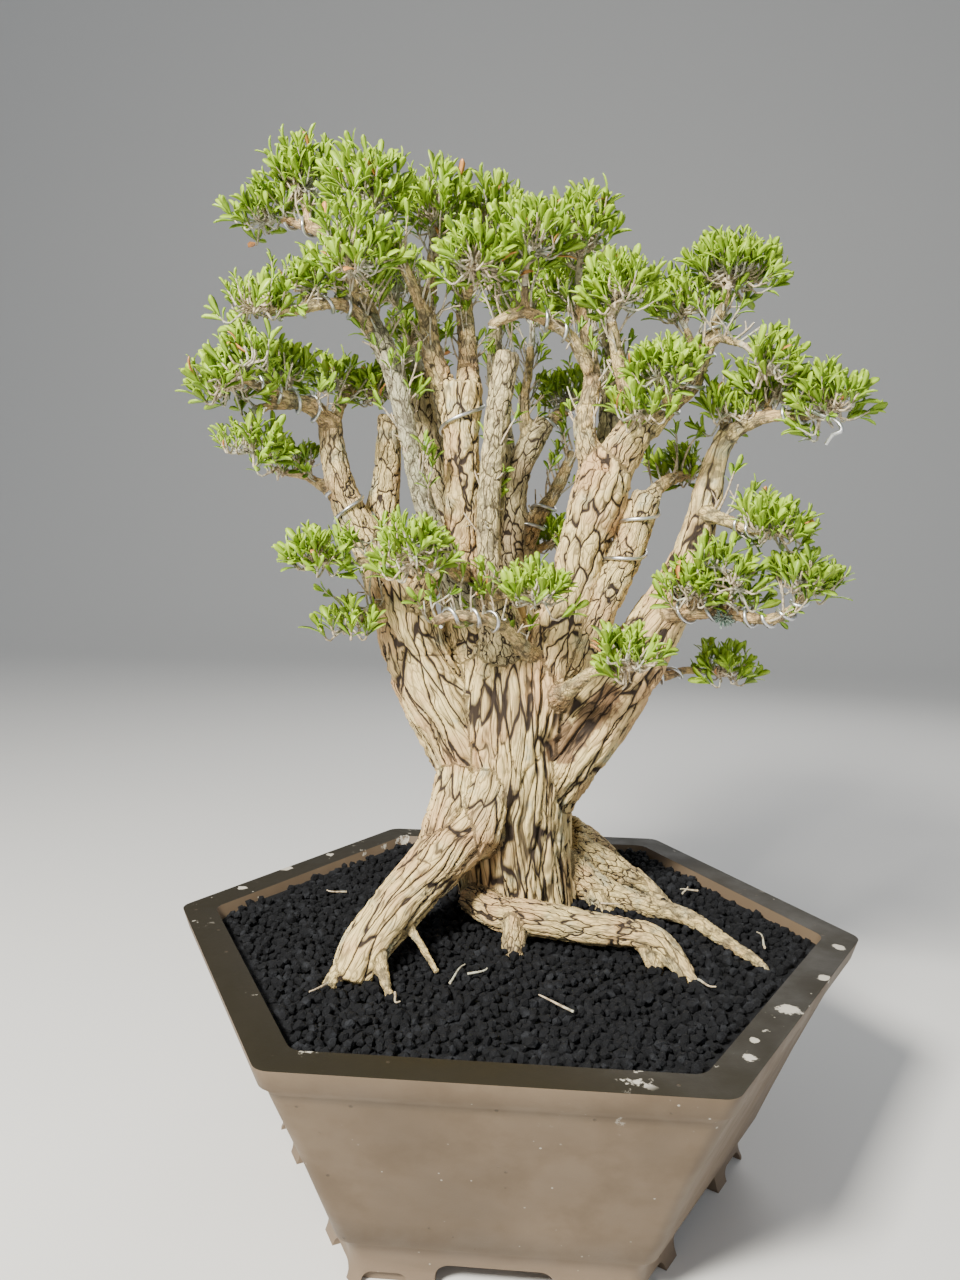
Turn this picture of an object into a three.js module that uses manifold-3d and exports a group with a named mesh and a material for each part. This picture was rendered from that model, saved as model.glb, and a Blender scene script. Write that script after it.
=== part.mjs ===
// Boxwood bonsai in a six-sided unglazed clay pot, filled with black lava gravel.
// Millimetres, +Z up. The origin is the centre of the pot's foot, on the surface it stands on.
// A corner of the pot points along +X and a flat side faces -Y, which is the tree's front.

import * as THREE from 'three';
import { mergeVertices } from 'three/addons/utils/BufferGeometryUtils.js';
import loadManifold from 'manifold-3d';

const manifold = await loadManifold();
manifold.setup();

// Pot: heights above the surface, radii from the axis to a corner
const RIM_RADIUS = 225;
const POT_HEIGHT = 154;
const LIP_HEIGHT = 12;
const WALL_AT_RIM = 23;
const CORNER_ROUNDING = 11;
const POT_OUTSIDE = [
  [158, 0], [155, 9], [160, 26], [166, 30], [188, 80], [213, 132], [215, 137],
  [RIM_RADIUS - 4, POT_HEIGHT - LIP_HEIGHT], [RIM_RADIUS, POT_HEIGHT],
];
const FLOOR_TOP = 42;
const POT_INSIDE = [[146, FLOOR_TOP], [168, 84], [195, 136], [RIM_RADIUS - WALL_AT_RIM, POT_HEIGHT + 1]];
const FOOT_RECESS_RADIUS = 138;
const FOOT_RECESS_HEIGHT = 14;
// Cuts in the foot's six sides: the arch goes through, the scallops are shallow
const FOOT_ARCH = { width: 65, height: 14, rounding: 8, offset: 0, from: 112 };
const FOOT_SCALLOP = { width: 26, height: 7, rounding: 6, offset: 60, from: 131 };
const FOOT_CUT_DEPTH = 40;
const DRAIN_HOLES = 3;
const DRAIN_HOLE_RADIUS = 12;
const DRAIN_HOLE_DISTANCE = 75;
const DRAIN_HOLE_SIDES = 10;

// Plastic screens over the drain holes
const SCREEN_SIDE = 40;
const SCREEN_THICKNESS = 1.6;
const SCREEN_MESHES = 2;
const SCREEN_BAR = 3;

// Soil
const SOIL_LEVEL = 150;
const SOIL_MOUND = 8;
const SOIL_MOUND_RADIUS = 85;
const SOIL_LATTICE = 6;
const SOIL_PITCH = 36;
const GRAVEL_RELIEF = 1.6;
const TRUNK_SPOT = [0, 45];

// Clearance between pieces that touch
const SEAT_GAP = 0.3;
const ROOT_GAP = 0.5;
const LEAST_GAP = 0.25;
const WOOD_TOLERANCE = 0.3;
const FIRST_ACROSS = [0.36, 0.93, 0.1];

// Training wire
const WIRE_RADIUS = 1.2;
const WIRE_SIDES = 3;
const WIRE_STEPS_PER_TURN = 6;
const WIRE_OPENING_STEP = 0.4;
const WIDEST_WIRE_OPENING = 4;
// The free end of a wire past its last turn: steps forward along the branch, in Y and in Z
const WIRE_HOOK = [[7, -2, -3], [14, -5, -6], [17, -6, -11], [12, -6, -14], [9, -4, -19]];

// Leaves and the shoots that carry them
const LEAF_LENGTH = 15;
const LEAF_HALF_WIDTH = 2.6;
const LEAF_THICKNESS = 0.9;
const LEAF_WIDEST = 0.62;
const LEAF_LEVEL = 5;
const LEAF_LEANS = [0.62, 0.36];
const LEAF_LENGTH_SHARES = [0.88, 1.1];
const LEAF_TIP_LIFT = 0.6;
const TOP_LEAF_SHARE = 0.85;
const TWIG_RADII = [1.15, 1, 0.8];
const STEM_TIP_RADIUS = 1.3;
const STEM_START_SHARE = 0.95;
const STEM_END_DROP = { ofSpread: 0.3, ofLeaf: 0.9 };
const LEAST_STEM = 6;
const LEAST_BEND = 3;
const STEM_BEND_SHARE = 0.4;
const BARE_STEM = 0.4;
const SHOOT_ATTEMPTS = 120;
const SHOOT_WANDER = 2.5;
const SHOOT_YIELD = 1;
const SHOOT_OVERLAP = 0.01;
const SHOOT_SPLAY = 0.75;
const DISC_START = 0.4;
const DOME_TOP = 0.95;
const DOME_DROP = 1.3;
const GOLDEN_ANGLE = Math.PI * (3 - Math.sqrt(5));

// Every stretch of wood is a route of [x, y, z, radius] points. Ridge is how far the bark's
// flutes stand out, as a share of the radius.
const TRUNK = {
  sides: 20,
  ridge: 0.08,
  routes: {
    trunk: [
      [4, 45, 126, 42], [2, 46, 155, 41], [-3, 44, 188, 42], [-5, 42, 225, 42.5], [-4, 40, 250, 43.5],
      [-4, 40, 275, 47], [-3, 40, 303, 48], [-5, 42, 327, 42], [-10, 45, 342, 32],
    ],
  },
};

const THICK_ROOTS = {
  sides: 8,
  ridge: 0.05,
  routes: {
    root_front_left: [
      [-9, 28, 239, 22], [-29, 5, 217, 20.5], [-52, -25, 195, 17], [-70, -50, 178, 15.5],
      [-84, -72, 163, 14], [-91, -84, 147, 11.5],
    ],
    root_front_right: [
      [-29, 14, 163, 9.5], [-7, -15, 165, 10.5], [13, -28, 169, 10.5], [44, -32, 166, 10],
      [72, -36, 165, 8.7], [89, -42, 164, 8], [100, -50, 157, 6.6], [111, -63, 144, 4.7],
    ],
    root_right: [
      [35, 52, 173, 14], [63, 44, 160, 10.5], [93, 28, 158, 6.8], [118, 12, 157, 5.3],
      [137, -10, 152, 4.2], [153, -36, 150, 3.1], [160, -50, 144, 2.4],
    ],
    root_back_right: [[35, 80, 190, 15], [62, 112, 170, 8.5], [83, 131, 148, 4.7]],
    root_back_left: [[-35, 75, 188, 16], [-62, 115, 169, 9.5], [-88, 147, 143, 5]],
    root_back: [[-2, 85, 186, 18], [0, 125, 172, 11], [3, 162, 147, 6]],
  },
};

const THIN_ROOTS = {
  sides: 5,
  ridge: 0,
  routes: {
    root_toe_left: [[-90, -74, 161, 6], [-98, -88, 152, 4.7], [-104, -97, 142, 3.5]],
    root_toe_front: [[-77, -74, 164, 6], [-70, -88, 154, 3.5], [-61, -107, 145, 1.8]],
    root_toe_right: [[-68, -50, 177, 4.3], [-54, -62, 165, 2.4], [-40, -74, 150, 1.8]],
    root_prong_near: [[3, -30, 166, 7.5], [3, -40, 149, 6.8], [4, -44, 139, 5.6]],
    root_prong_far: [[83, -41, 163, 5.5], [89, -50, 149, 4.8], [91, -57, 140, 3.6]],
    root_right_upper: [[38, 65, 183, 14], [72, 70, 168, 10], [93, 68, 159, 5.8], [111, 57, 146, 3.6]],
    root_right_knob: [[53, 46, 165, 9], [61, 36, 154, 7.6], [64, 22, 141, 4.8]],
  },
};

const LIMBS = {
  sides: 8,
  ridge: 0.07,
  routes: {
    left: [
      [-12, 40, 205, 18], [-20, 35, 232, 24], [-30, 30, 258, 27], [-44, 24, 287, 27], [-60, 18, 315, 24],
      [-70, 14, 338, 21], [-76, 12, 362, 19], [-84, 12, 381, 18], [-92, 12, 398, 16],
    ],
    centre: [
      [-20, 30, 328, 26], [-30, 22, 362, 20], [-38, 16, 392, 14], [-38, 12, 418, 11], [-38, 10, 443, 10.7],
      [-39, 8, 469, 11], [-40, 8, 489, 13], [-41, 8, 504, 14],
    ],
    right_mid: [
      [15, 32, 298, 24.5], [25, 22, 333, 22.5], [31, 14, 361, 17.5], [37, 8, 387, 15], [43, 4, 413, 15],
      [49, 2, 433, 16.5], [53, 0, 449, 16],
    ],
    right: [
      [4, 42, 200, 16], [14, 39, 228, 24], [27, 34, 258, 28], [44, 28, 284, 27.5], [62, 22, 310, 24],
      [79, 16, 335, 19.5], [92, 12, 359, 16], [103, 8, 382, 13], [109, 6, 401, 11], [114, 4, 420, 9.5],
      [117, 4, 436, 9], [120, 3, 451, 7.5], [123, 2, 463, 6.8], [129, 0, 475, 6],
    ],
    back_right: [
      [0, 42, 337, 19], [-1, 45, 372, 15], [-6, 48, 402, 12.4], [-8, 50, 426, 9.6], [-6, 54, 447, 8.9],
      [0, 58, 464, 8.3], [7, 60, 477, 7.9], [14, 62, 488, 6.2],
    ],
  },
};

const LIMB_FORKS = {
  sides: 6,
  ridge: 0.05,
  routes: {
    left_stub: [[-69, 4, 362, 10.4], [-61, 0, 372, 9], [-57, -2, 383, 7]],
    left_a: [
      [-94, 10, 396, 13], [-106, 6, 414, 11], [-113, 4, 428, 9.7], [-117, 2, 442, 8.7],
      [-121, 2, 458, 8], [-123, 0, 481, 7],
    ],
    left_b: [
      [-88, 18, 394, 12.6], [-94, 24, 414, 11.3], [-93, 28, 430, 10], [-91, 30, 451, 8.6],
      [-90, 32, 487, 7.5],
    ],
    grey: [
      [-32, 10, 359, 10.5], [-46, 0, 389, 8.3], [-57, -4, 416, 7], [-65, -6, 441, 6], [-70, -8, 466, 5.6],
      [-80, -8, 507, 6.6], [-88, -6, 525, 6.9], [-96, -4, 540, 5.6],
    ],
    back_left: [
      [-41, 50, 356, 14], [-49, 52, 391, 10.4], [-58, 52, 429, 9.7], [-64, 52, 458, 9],
      [-72, 50, 503, 8.2], [-75, 48, 518, 7.5],
    ],
    snag: [
      [-9, 10, 334, 17], [-15, 2, 367, 11.6], [-19, -2, 393, 7.6], [-20, -4, 418, 7], [-19, -5, 443, 7],
      [-14, -7, 492, 7.5], [-9, -8, 521, 7],
    ],
    right_mid_a: [
      [46, 0, 448, 9], [41, 0, 465, 7], [39, 0, 480, 6.5], [42, 3, 495, 5.6], [43, 7, 511, 5],
      [40, 10, 529, 4.4], [34, 10, 556, 2.8],
    ],
    right_mid_b: [[57, 0, 451, 13], [66, -2, 467, 12], [74, -4, 479, 10]],
    right_inner: [
      [41, 16, 324, 16], [51, 8, 357, 10.3], [61, 4, 381, 10], [70, 2, 404, 9.8], [80, 0, 436, 8.5],
    ],
    far_left: [
      [-25, 62, 328, 21], [-39, 84, 361, 14.6], [-46, 96, 405, 11], [-55, 104, 449, 9],
      [-81, 110, 534, 6], [-93, 110, 563, 4.4],
    ],
    far_mid: [
      [-5, 75, 334, 20], [-8, 100, 384, 13.4], [-14, 116, 436, 10.6], [-26, 124, 536, 6],
      [-25, 124, 569, 4.5],
    ],
    far_right: [
      [28, 62, 329, 20], [41, 86, 370, 14], [52, 98, 414, 11], [58, 106, 458, 9],
      [60, 112, 538, 6], [55, 112, 559, 4.4],
    ],
  },
};

const BRANCHES = {
  sides: 4,
  ridge: 0,
  routes: {
    centre_left_arm: [[-46, 8, 494, 8.3], [-55, 6, 512, 7], [-59, 4, 527, 6], [-61, 2, 545, 5.3]],
    centre_right_arm: [[-35, 14, 498, 8.4], [-37, 21, 524, 6.1], [-41, 31, 564, 5.2], [-41, 38, 582, 3.9]],
    back_right_fork: [
      [-2, 46, 400, 9], [9, 52, 420, 6.2], [18, 56, 433, 4.8], [26, 60, 449, 4.1], [33, 62, 467, 3.5],
    ],
    back_right_arm: [[10, 61, 483, 5.5], [22, 64, 491, 4.1], [33, 68, 500, 3.5]],
    back_right_thin: [[1, 58, 468, 4.1], [-1, 56, 498, 3.4], [1, 55, 517, 3.1], [3, 54, 537, 2.7]],
    right_mid_c: [[69, -4, 474, 6.8], [65, -11, 494, 5.2], [59, -17, 511, 4.3], [52, -24, 536, 3.1]],
    right_mid_d: [
      [78, -4, 474, 6.8], [91, -5, 489, 5.2], [104, -4, 501, 4.6], [110, -2, 517, 4.2],
      [116, 1, 533, 3.6], [124, 4, 561, 2.7],
    ],
    right_inner_arm: [[79, 0, 431, 5], [89, 7, 442, 4.1], [99, 15, 447, 3.8], [110, 26, 450, 3.1]],
    right_arm: [
      [127, 0, 471, 5.6], [136, -7, 478, 4.9], [145, -14, 481, 4], [155, -20, 482, 3.4],
      [165, -27, 481, 2.7], [172, -32, 480, 2.4],
    ],
    right_low: [
      [93, 2, 362, 6.4], [109, -12, 363, 5], [126, -19, 364, 3.7], [141, -27, 361, 3.4],
      [154, -35, 362, 3.1], [164, -40, 369, 2.8], [168, -46, 378, 2.5],
    ],
    right_side: [[113, 1, 425, 5], [127, -17, 419, 3.7], [137, -29, 414, 3.1], [144, -40, 414, 2.7]],
    right_bottom: [[80, 14, 324, 5.2], [96, 20, 318, 3.3], [109, 28, 321, 2.6], [121, 36, 320, 2.3]],
    front_cross_low: [
      [8, 2, 332, 5.8], [-3, -21, 347, 4.1], [-14, -34, 356, 3.7], [-26, -43, 359, 3.4],
      [-39, -48, 360, 3], [-49, -49, 356, 2.8],
    ],
    front_cross_high: [
      [-35, 0, 383, 5.1], [-44, -20, 388, 3.8], [-57, -30, 391, 3.4], [-71, -36, 391, 3.1],
      [-85, -38, 390, 2.8], [-98, -38, 391, 2.5],
    ],
    front_mid: [[-18, -4, 372, 5.1], [-7, -30, 373, 3.7], [5, -44, 372, 3.4], [13, -54, 370, 2.7]],
    left_twig: [[-118, 4, 431, 5.2], [-133, 6, 441, 3.2], [-145, 12, 446, 2.9], [-159, 20, 448, 2.5]],
    left_fan: [
      [-121, 0, 476, 5.7], [-131, -12, 486, 5.1], [-142, -25, 489, 4.4], [-154, -38, 495, 3.4],
      [-165, -48, 498, 2.8],
    ],
    left_fan_up: [[-123, 2, 475, 5.1], [-119, 17, 494, 3.9], [-115, 31, 504, 3.2]],
    left_fan_low: [[-137, -19, 487, 3.8], [-149, -30, 485, 2.8], [-159, -38, 481, 2.5]],
    high_left: [
      [-92, -5, 533, 5], [-106, -16, 545, 3.7], [-116, -25, 546, 3.4], [-129, -35, 541, 3.1],
      [-140, -42, 537, 2.8], [-149, -48, 538, 2.5],
    ],
    top_left: [
      [-92, -5, 532, 5.6], [-100, 3, 553, 4.4], [-112, 10, 575, 4.1], [-127, 17, 596, 3.8],
      [-144, 22, 606, 3.1], [-162, 27, 612, 2.5],
    ],
    top_left_front: [[-99, 2, 550, 3.8], [-103, -20, 555, 3.1], [-102, -38, 558, 2.8]],
    top_mid_left: [[-61, 2, 540, 4.4], [-68, -11, 559, 3.4], [-74, -23, 572, 3.1], [-77, -32, 581, 2.5]],
    top_mid: [[-61, 2, 540, 4.4], [-59, 6, 567, 3.5], [-60, 10, 586, 2.8]],
    arch: [
      [41, 2, 512, 4.4], [30, -6, 529, 3.7], [16, -14, 537, 3.7], [1, -20, 542, 3.6],
      [-12, -24, 537, 3.3], [-20, -27, 532, 2.7],
    ],
    low_right_front: [[26, 6, 303, 7.8], [37, -23, 317, 4.4], [49, -39, 328, 3.7], [61, -50, 330, 3.1]],
  },
};

const SIDE_TWIGS = {
  sides: 3,
  ridge: 0,
  routes: {
    left_fan_twig: [[-142, -25, 488, 3], [-149, -13, 497, 2.4], [-155, -1, 506, 2]],
    high_left_twig: [[-129, -35, 541, 2.7], [-128, -32, 547, 2.2], [-126, -29, 552, 2]],
    top_left_twig: [[-140, 20, 603, 2.8], [-144, 23, 616, 2.5], [-147, 25, 626, 2.2]],
    centre_front_twig: [[-41, 30, 561, 3.9], [-35, -1, 559, 2.8], [-31, -28, 559, 2.5]],
    arch_twig: [[1, -20, 542, 3], [1, -22, 550, 2.6], [1, -25, 557, 2.4]],
    right_mid_a_twig: [[41, 7, 521, 3.3], [37, 30, 542, 2.6], [34, 48, 558, 2.5]],
    right_mid_d_twig: [[91, -5, 489, 3.7], [86, -20, 494, 2.6], [83, -33, 499, 2.4]],
    right_sprig_twig: [[110, -2, 516, 3], [104, -1, 526, 2.4], [99, 0, 537, 2.1]],
    right_tuft_twig: [[115, 1, 532, 2.8], [123, -12, 527, 2.3], [129, -26, 522, 2]],
    right_arm_twig: [[148, -16, 481, 3.1], [150, -6, 489, 2.4], [152, 4, 495, 2.1]],
    right_mid_b_twig: [[74, -3, 477, 4.6], [74, -18, 482, 2.8], [73, -29, 486, 2.4]],
    right_top_twig: [[127, 0, 470, 4.6], [125, 2, 479, 2.8], [124, 5, 485, 2.5]],
    right_low_tuft_twig: [[110, -12, 362, 3.4], [110, -18, 370, 2.5], [109, -22, 375, 2.2]],
    right_low_mass_twig: [[127, -19, 363, 3.1], [128, -26, 372, 2.5], [128, -32, 377, 2.2]],
    left_base_twig: [[-78, 12, 365, 5.3], [-90, -5, 361, 2.9], [-94, -16, 360, 2.5]],
    front_left_twig: [[-57, -30, 391, 2.8], [-57, -39, 395, 2.3], [-57, -47, 399, 2]],
    back_low_twig: [[-1, 45, 389, 5.5], [9, 56, 398, 3.5], [17, 60, 403, 2.8]],
  },
};

const WOOD = [TRUNK, THICK_ROOTS, THIN_ROOTS, LIMBS, LIMB_FORKS, BRANCHES, SIDE_TWIGS];

// A wire winds round one branch, between two shares of the branch's length
const WIRES = {
  wire_left_fan: { around: 'left_fan', from: 0.6, to: 0.95, turns: 2 },
  wire_high_left: { around: 'high_left', from: 0.14, to: 0.5, turns: 2 },
  wire_top_left: { around: 'top_left', from: 0.3, to: 0.66, turns: 3 },
  wire_front_cross: { around: 'front_cross_high', from: 0.5, to: 0.94, turns: 3.5 },
  wire_front_low: { around: 'front_cross_low', from: 0.3, to: 0.94, turns: 4 },
  wire_arch: { around: 'arch', from: 0.2, to: 0.5, turns: 2 },
  wire_right_arm: { around: 'right_arm', from: 0.57, to: 0.95, turns: 2.5, curl: true },
  wire_right_low: { around: 'right_low', from: 0.42, to: 0.94, turns: 4 },
  wire_right_side: { around: 'right_side', from: 0.42, to: 0.94, turns: 2.5 },
};

// A spray is the leafy growth that one branch end carries: the middle of its leaves, how far
// they spread from it along X, Y and Z, and how many shoots it has
const SPRAYS = {
  left_tip: { from: 'left_fan', centre: [-174, -50, 507], spread: [17, 14, 14], shoots: 4 },
  left_outer: { from: 'left_fan_twig', centre: [-161, 6, 523], spread: [15, 12, 13], shoots: 3 },
  left_low: { from: 'left_fan_low', centre: [-161, -39, 476], spread: [15, 12, 13], shoots: 2 },
  left_inner: { from: 'left_fan_up', centre: [-132, 33, 522], spread: [15, 14, 14], shoots: 2 },
  left_crown: { from: 'left_b', centre: [-97, 36, 520], spread: [16, 14, 16], shoots: 3 },
  high_left_tip: { from: 'high_left', centre: [-157, -50, 553], spread: [13, 8, 9], shoots: 2 },
  high_left_mid: { from: 'high_left_twig', centre: [-124, -30, 566], spread: [11, 10, 11], shoots: 2 },
  top_left_tip: { from: 'top_left', centre: [-175, 28, 628], spread: [11, 10, 10], shoots: 2 },
  top_left_crown: { from: 'top_left_twig', centre: [-147, 27, 650], spread: [18, 18, 16], shoots: 4 },
  top_left_inner: { from: 'top_left_front', centre: [-95, -46, 579], spread: [18, 16, 19], shoots: 4 },
  top_mid_left: { from: 'top_mid_left', centre: [-92, -34, 624], spread: [21, 20, 17], shoots: 4 },
  top_mid: { from: 'top_mid', centre: [-58, 12, 626], spread: [17, 20, 24], shoots: 4 },
  top_centre: { from: 'centre_right_arm', centre: [-30, 44, 632], spread: [17, 20, 24], shoots: 4 },
  top_front: { from: 'centre_front_twig', centre: [-27, -44, 583], spread: [17, 14, 17], shoots: 4 },
  top_right: { from: 'arch_twig', centre: [4, -24, 595], spread: [19, 20, 22], shoots: 4 },
  right_top: { from: 'right_mid_a', centre: [36, 10, 612], spread: [23, 20, 20], shoots: 4 },
  right_upper: { from: 'right_mid_c', centre: [58, -30, 563], spread: [17, 16, 17], shoots: 3 },
  right_upper_back: { from: 'right_mid_a_twig', centre: [30, 60, 588], spread: [14, 12, 17], shoots: 2 },
  right_crown_left: { from: 'right_mid_d_twig', centre: [80, -39, 518], spread: [15, 14, 14], shoots: 3 },
  right_sprig: { from: 'right_sprig_twig', centre: [92, 2, 564], spread: [7, 8, 12], shoots: 2 },
  right_crown: { from: 'right_mid_d', centre: [127, 6, 588], spread: [30, 20, 14], shoots: 6 },
  right_tuft: { from: 'right_tuft_twig', centre: [142, -34, 524], spread: [13, 10, 8], shoots: 2 },
  right_tip: { from: 'right_arm', centre: [184, -34, 500], spread: [18, 14, 12], shoots: 3 },
  right_outer: { from: 'right_arm_twig', centre: [153, 10, 511], spread: [15, 14, 9], shoots: 3 },
  rosette_left: { from: 'right_mid_b_twig', centre: [72, -39, 495], spread: [7, 7, 5], shoots: 1 },
  rosette_right: { from: 'right_top_twig', centre: [123, 5, 496], spread: [8, 8, 6], shoots: 1 },
  right_behind: { from: 'right_inner_arm', centre: [107, 38, 468], spread: [12, 10, 10], shoots: 2 },
  right_side_tip: { from: 'right_side', centre: [155, -44, 427], spread: [13, 12, 11], shoots: 3 },
  right_low_tuft: { from: 'right_low_tuft_twig', centre: [109, -24, 388], spread: [11, 9, 9], shoots: 2 },
  right_low_mass: { from: 'right_low_mass_twig', centre: [130, -37, 394], spread: [14, 12, 11], shoots: 2 },
  right_low_tip: { from: 'right_low', centre: [169, -48, 393], spread: [12, 10, 9], shoots: 2 },
  right_bottom_tip: { from: 'right_bottom', centre: [137, 40, 336], spread: [12, 12, 8], shoots: 2 },
  left_base_tip: { from: 'left_base_twig', centre: [-102, -24, 364], spread: [9, 8, 6], shoots: 1 },
  left_side_tip: { from: 'front_cross_high', centre: [-118, -46, 406], spread: [13, 10, 11], shoots: 2 },
  front_left: { from: 'front_left_twig', centre: [-58, -56, 412], spread: [16, 10, 8], shoots: 3 },
  front_mid_tuft: { from: 'front_mid', centre: [15, -62, 387], spread: [14, 12, 10], shoots: 2 },
  left_twig_tip: { from: 'left_twig', centre: [-163, 22, 465], spread: [8, 8, 9], shoots: 1 },
  front_low: { from: 'low_right_front', centre: [68, -60, 351], spread: [14, 12, 14], shoots: 2 },
  back_right_tuft: { from: 'back_right_arm', centre: [34, 72, 521], spread: [13, 12, 11], shoots: 2 },
  back_low_tuft: { from: 'back_low_twig', centre: [25, 64, 418], spread: [9, 9, 9], shoots: 1 },
  far_left_crown: { from: 'far_left', centre: [-99, 112, 608], spread: [30, 26, 22], shoots: 4 },
  far_mid_crown: { from: 'far_mid', centre: [-27, 126, 615], spread: [30, 26, 24], shoots: 4 },
  far_right_crown: { from: 'far_right', centre: [53, 114, 602], spread: [28, 26, 22], shoots: 4 },
  back_left_tuft: { from: 'back_left', centre: [-81, 68, 559], spread: [19, 16, 16], shoots: 2 },
  back_top: { from: 'back_right_thin', centre: [1, 68, 583], spread: [19, 18, 21], shoots: 3 },
};

// Colours and finishes
const clay = () => new THREE.MeshStandardMaterial({ color: 0x7d6f5c, roughness: 0.78, metalness: 0 });
const gravel = () => new THREE.MeshStandardMaterial({ color: 0x17191c, roughness: 0.95, metalness: 0 });
const bark = () => new THREE.MeshStandardMaterial({ color: 0xd9c39a, roughness: 0.9, metalness: 0 });
const leaf = () => new THREE.MeshStandardMaterial({ color: 0x7da531, roughness: 0.5, metalness: 0 });
const aluminium = () => new THREE.MeshStandardMaterial({ color: 0xb9bdbf, roughness: 0.35, metalness: 1 });
const plastic = () => new THREE.MeshStandardMaterial({ color: 0x20241f, roughness: 0.6, metalness: 0 });

// Geometry and solids

function geometryOf(points, faces) {
  const geometry = new THREE.BufferGeometry().setFromPoints(points);
  geometry.setIndex(faces);
  return geometry;
}

function solidOf(geometry) {
  const bare = geometry.clone();
  bare.deleteAttribute('normal');
  bare.deleteAttribute('uv');
  const merged = mergeVertices(bare);
  const mesh = new manifold.Mesh({
    numProp: 3,
    vertProperties: Float32Array.from(merged.attributes.position.array),
    triVerts: Uint32Array.from(merged.index.array),
  });
  return new manifold.Manifold(mesh);
}

function meshOf(name, solid, material) {
  const { vertProperties, triVerts } = solid.getMesh();
  const geometry = new THREE.BufferGeometry();
  geometry.setAttribute('position', new THREE.BufferAttribute(vertProperties, 3));
  geometry.setIndex(new THREE.BufferAttribute(triVerts, 1));
  geometry.computeVertexNormals();
  const mesh = new THREE.Mesh(geometry, material);
  mesh.name = name;
  return mesh;
}

function middleOf(ring) {
  const middle = new THREE.Vector3();
  ring.forEach((point) => middle.addScaledVector(point, 1 / ring.length));
  return middle;
}

// Skins a row of rings that run counterclockwise seen from the last one, and closes both ends
function loft(rings) {
  const count = rings[0].length;
  const points = rings.flat();
  const faces = [];
  for (let ring = 0; ring + 1 < rings.length; ring += 1) {
    for (let side = 0; side < count; side += 1) {
      const here = ring * count + side;
      const next = ring * count + ((side + 1) % count);
      faces.push(here, next, next + count, here, next + count, here + count);
    }
  }
  const firstMiddle = points.push(middleOf(rings[0])) - 1;
  const lastMiddle = points.push(middleOf(rings.at(-1))) - 1;
  const lastRing = (rings.length - 1) * count;
  for (let side = 0; side < count; side += 1) {
    const next = (side + 1) % count;
    faces.push(firstMiddle, next, side, lastMiddle, lastRing + side, lastRing + next);
  }
  return solidOf(geometryOf(points, faces));
}

function seededRandom(seed) {
  let state = seed;
  return () => {
    state = (Math.imul(state, 1664525) + 1013904223) >>> 0;
    return state / 4294967296;
  };
}

// Pot

function hexagonRing(radius, z, rounding = CORNER_ROUNDING) {
  const ring = [];
  const toRoundingCentre = radius - rounding / Math.cos(Math.PI / 6);
  for (let corner = 0; corner < 6; corner += 1) {
    const towards = (corner * Math.PI) / 3;
    for (const turn of [-Math.PI / 8, Math.PI / 8]) {
      const x = toRoundingCentre * Math.cos(towards) + rounding * Math.cos(towards + turn);
      const y = toRoundingCentre * Math.sin(towards) + rounding * Math.sin(towards + turn);
      ring.push(new THREE.Vector3(x, y, z));
    }
  }
  return ring;
}

function hexagonLoft(profile, inset = 0) {
  return loft(profile.map(([radius, z]) => hexagonRing(radius - inset / Math.cos(Math.PI / 6), z)));
}

// The tool that cuts the foot under one side: straight up, with round upper corners
function footCut({ width, height, rounding, offset, from }, side) {
  const half = width / 2;
  const outline = new THREE.Shape();
  outline.moveTo(-half, -height);
  outline.lineTo(half, -height);
  outline.lineTo(half, height - rounding);
  outline.absarc(half - rounding, height - rounding, rounding, 0, Math.PI / 2, false);
  outline.absarc(-half + rounding, height - rounding, rounding, Math.PI / 2, Math.PI, false);
  const shape = { depth: FOOT_CUT_DEPTH, bevelEnabled: false, curveSegments: 1 };
  const geometry = new THREE.ExtrudeGeometry(outline, shape);
  geometry.translate(offset, 0, from);
  geometry.rotateX(Math.PI / 2);
  geometry.rotateZ((side * Math.PI) / 3);
  return solidOf(geometry);
}

function drainSpots() {
  const spots = [];
  for (let hole = 0; hole < DRAIN_HOLES; hole += 1) {
    const towards = Math.PI / 2 + (hole * 2 * Math.PI) / DRAIN_HOLES;
    spots.push([DRAIN_HOLE_DISTANCE * Math.cos(towards), DRAIN_HOLE_DISTANCE * Math.sin(towards)]);
  }
  return spots;
}

function makePot() {
  let pot = hexagonLoft(POT_OUTSIDE).subtract(hexagonLoft(POT_INSIDE));
  const recess = [[FOOT_RECESS_RADIUS, -1], [FOOT_RECESS_RADIUS, FOOT_RECESS_HEIGHT]];
  pot = pot.subtract(hexagonLoft(recess));
  for (let side = 0; side < 6; side += 1) {
    pot = pot.subtract(footCut(FOOT_ARCH, side));
    pot = pot.subtract(footCut(FOOT_SCALLOP, side));
    pot = pot.subtract(footCut({ ...FOOT_SCALLOP, offset: -FOOT_SCALLOP.offset }, side));
  }
  for (const [x, y] of drainSpots()) {
    const size = [DRAIN_HOLE_RADIUS, DRAIN_HOLE_RADIUS, FLOOR_TOP * 2, DRAIN_HOLE_SIDES];
    const hole = new THREE.CylinderGeometry(...size);
    hole.rotateX(Math.PI / 2);
    hole.translate(x, y, FLOOR_TOP);
    pot = pot.subtract(solidOf(hole));
  }
  return pot;
}

// Drain screens

function block(width, height, x, y, z) {
  const geometry = new THREE.BoxGeometry(width, width, height);
  geometry.translate(x, y, z);
  return solidOf(geometry);
}

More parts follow.
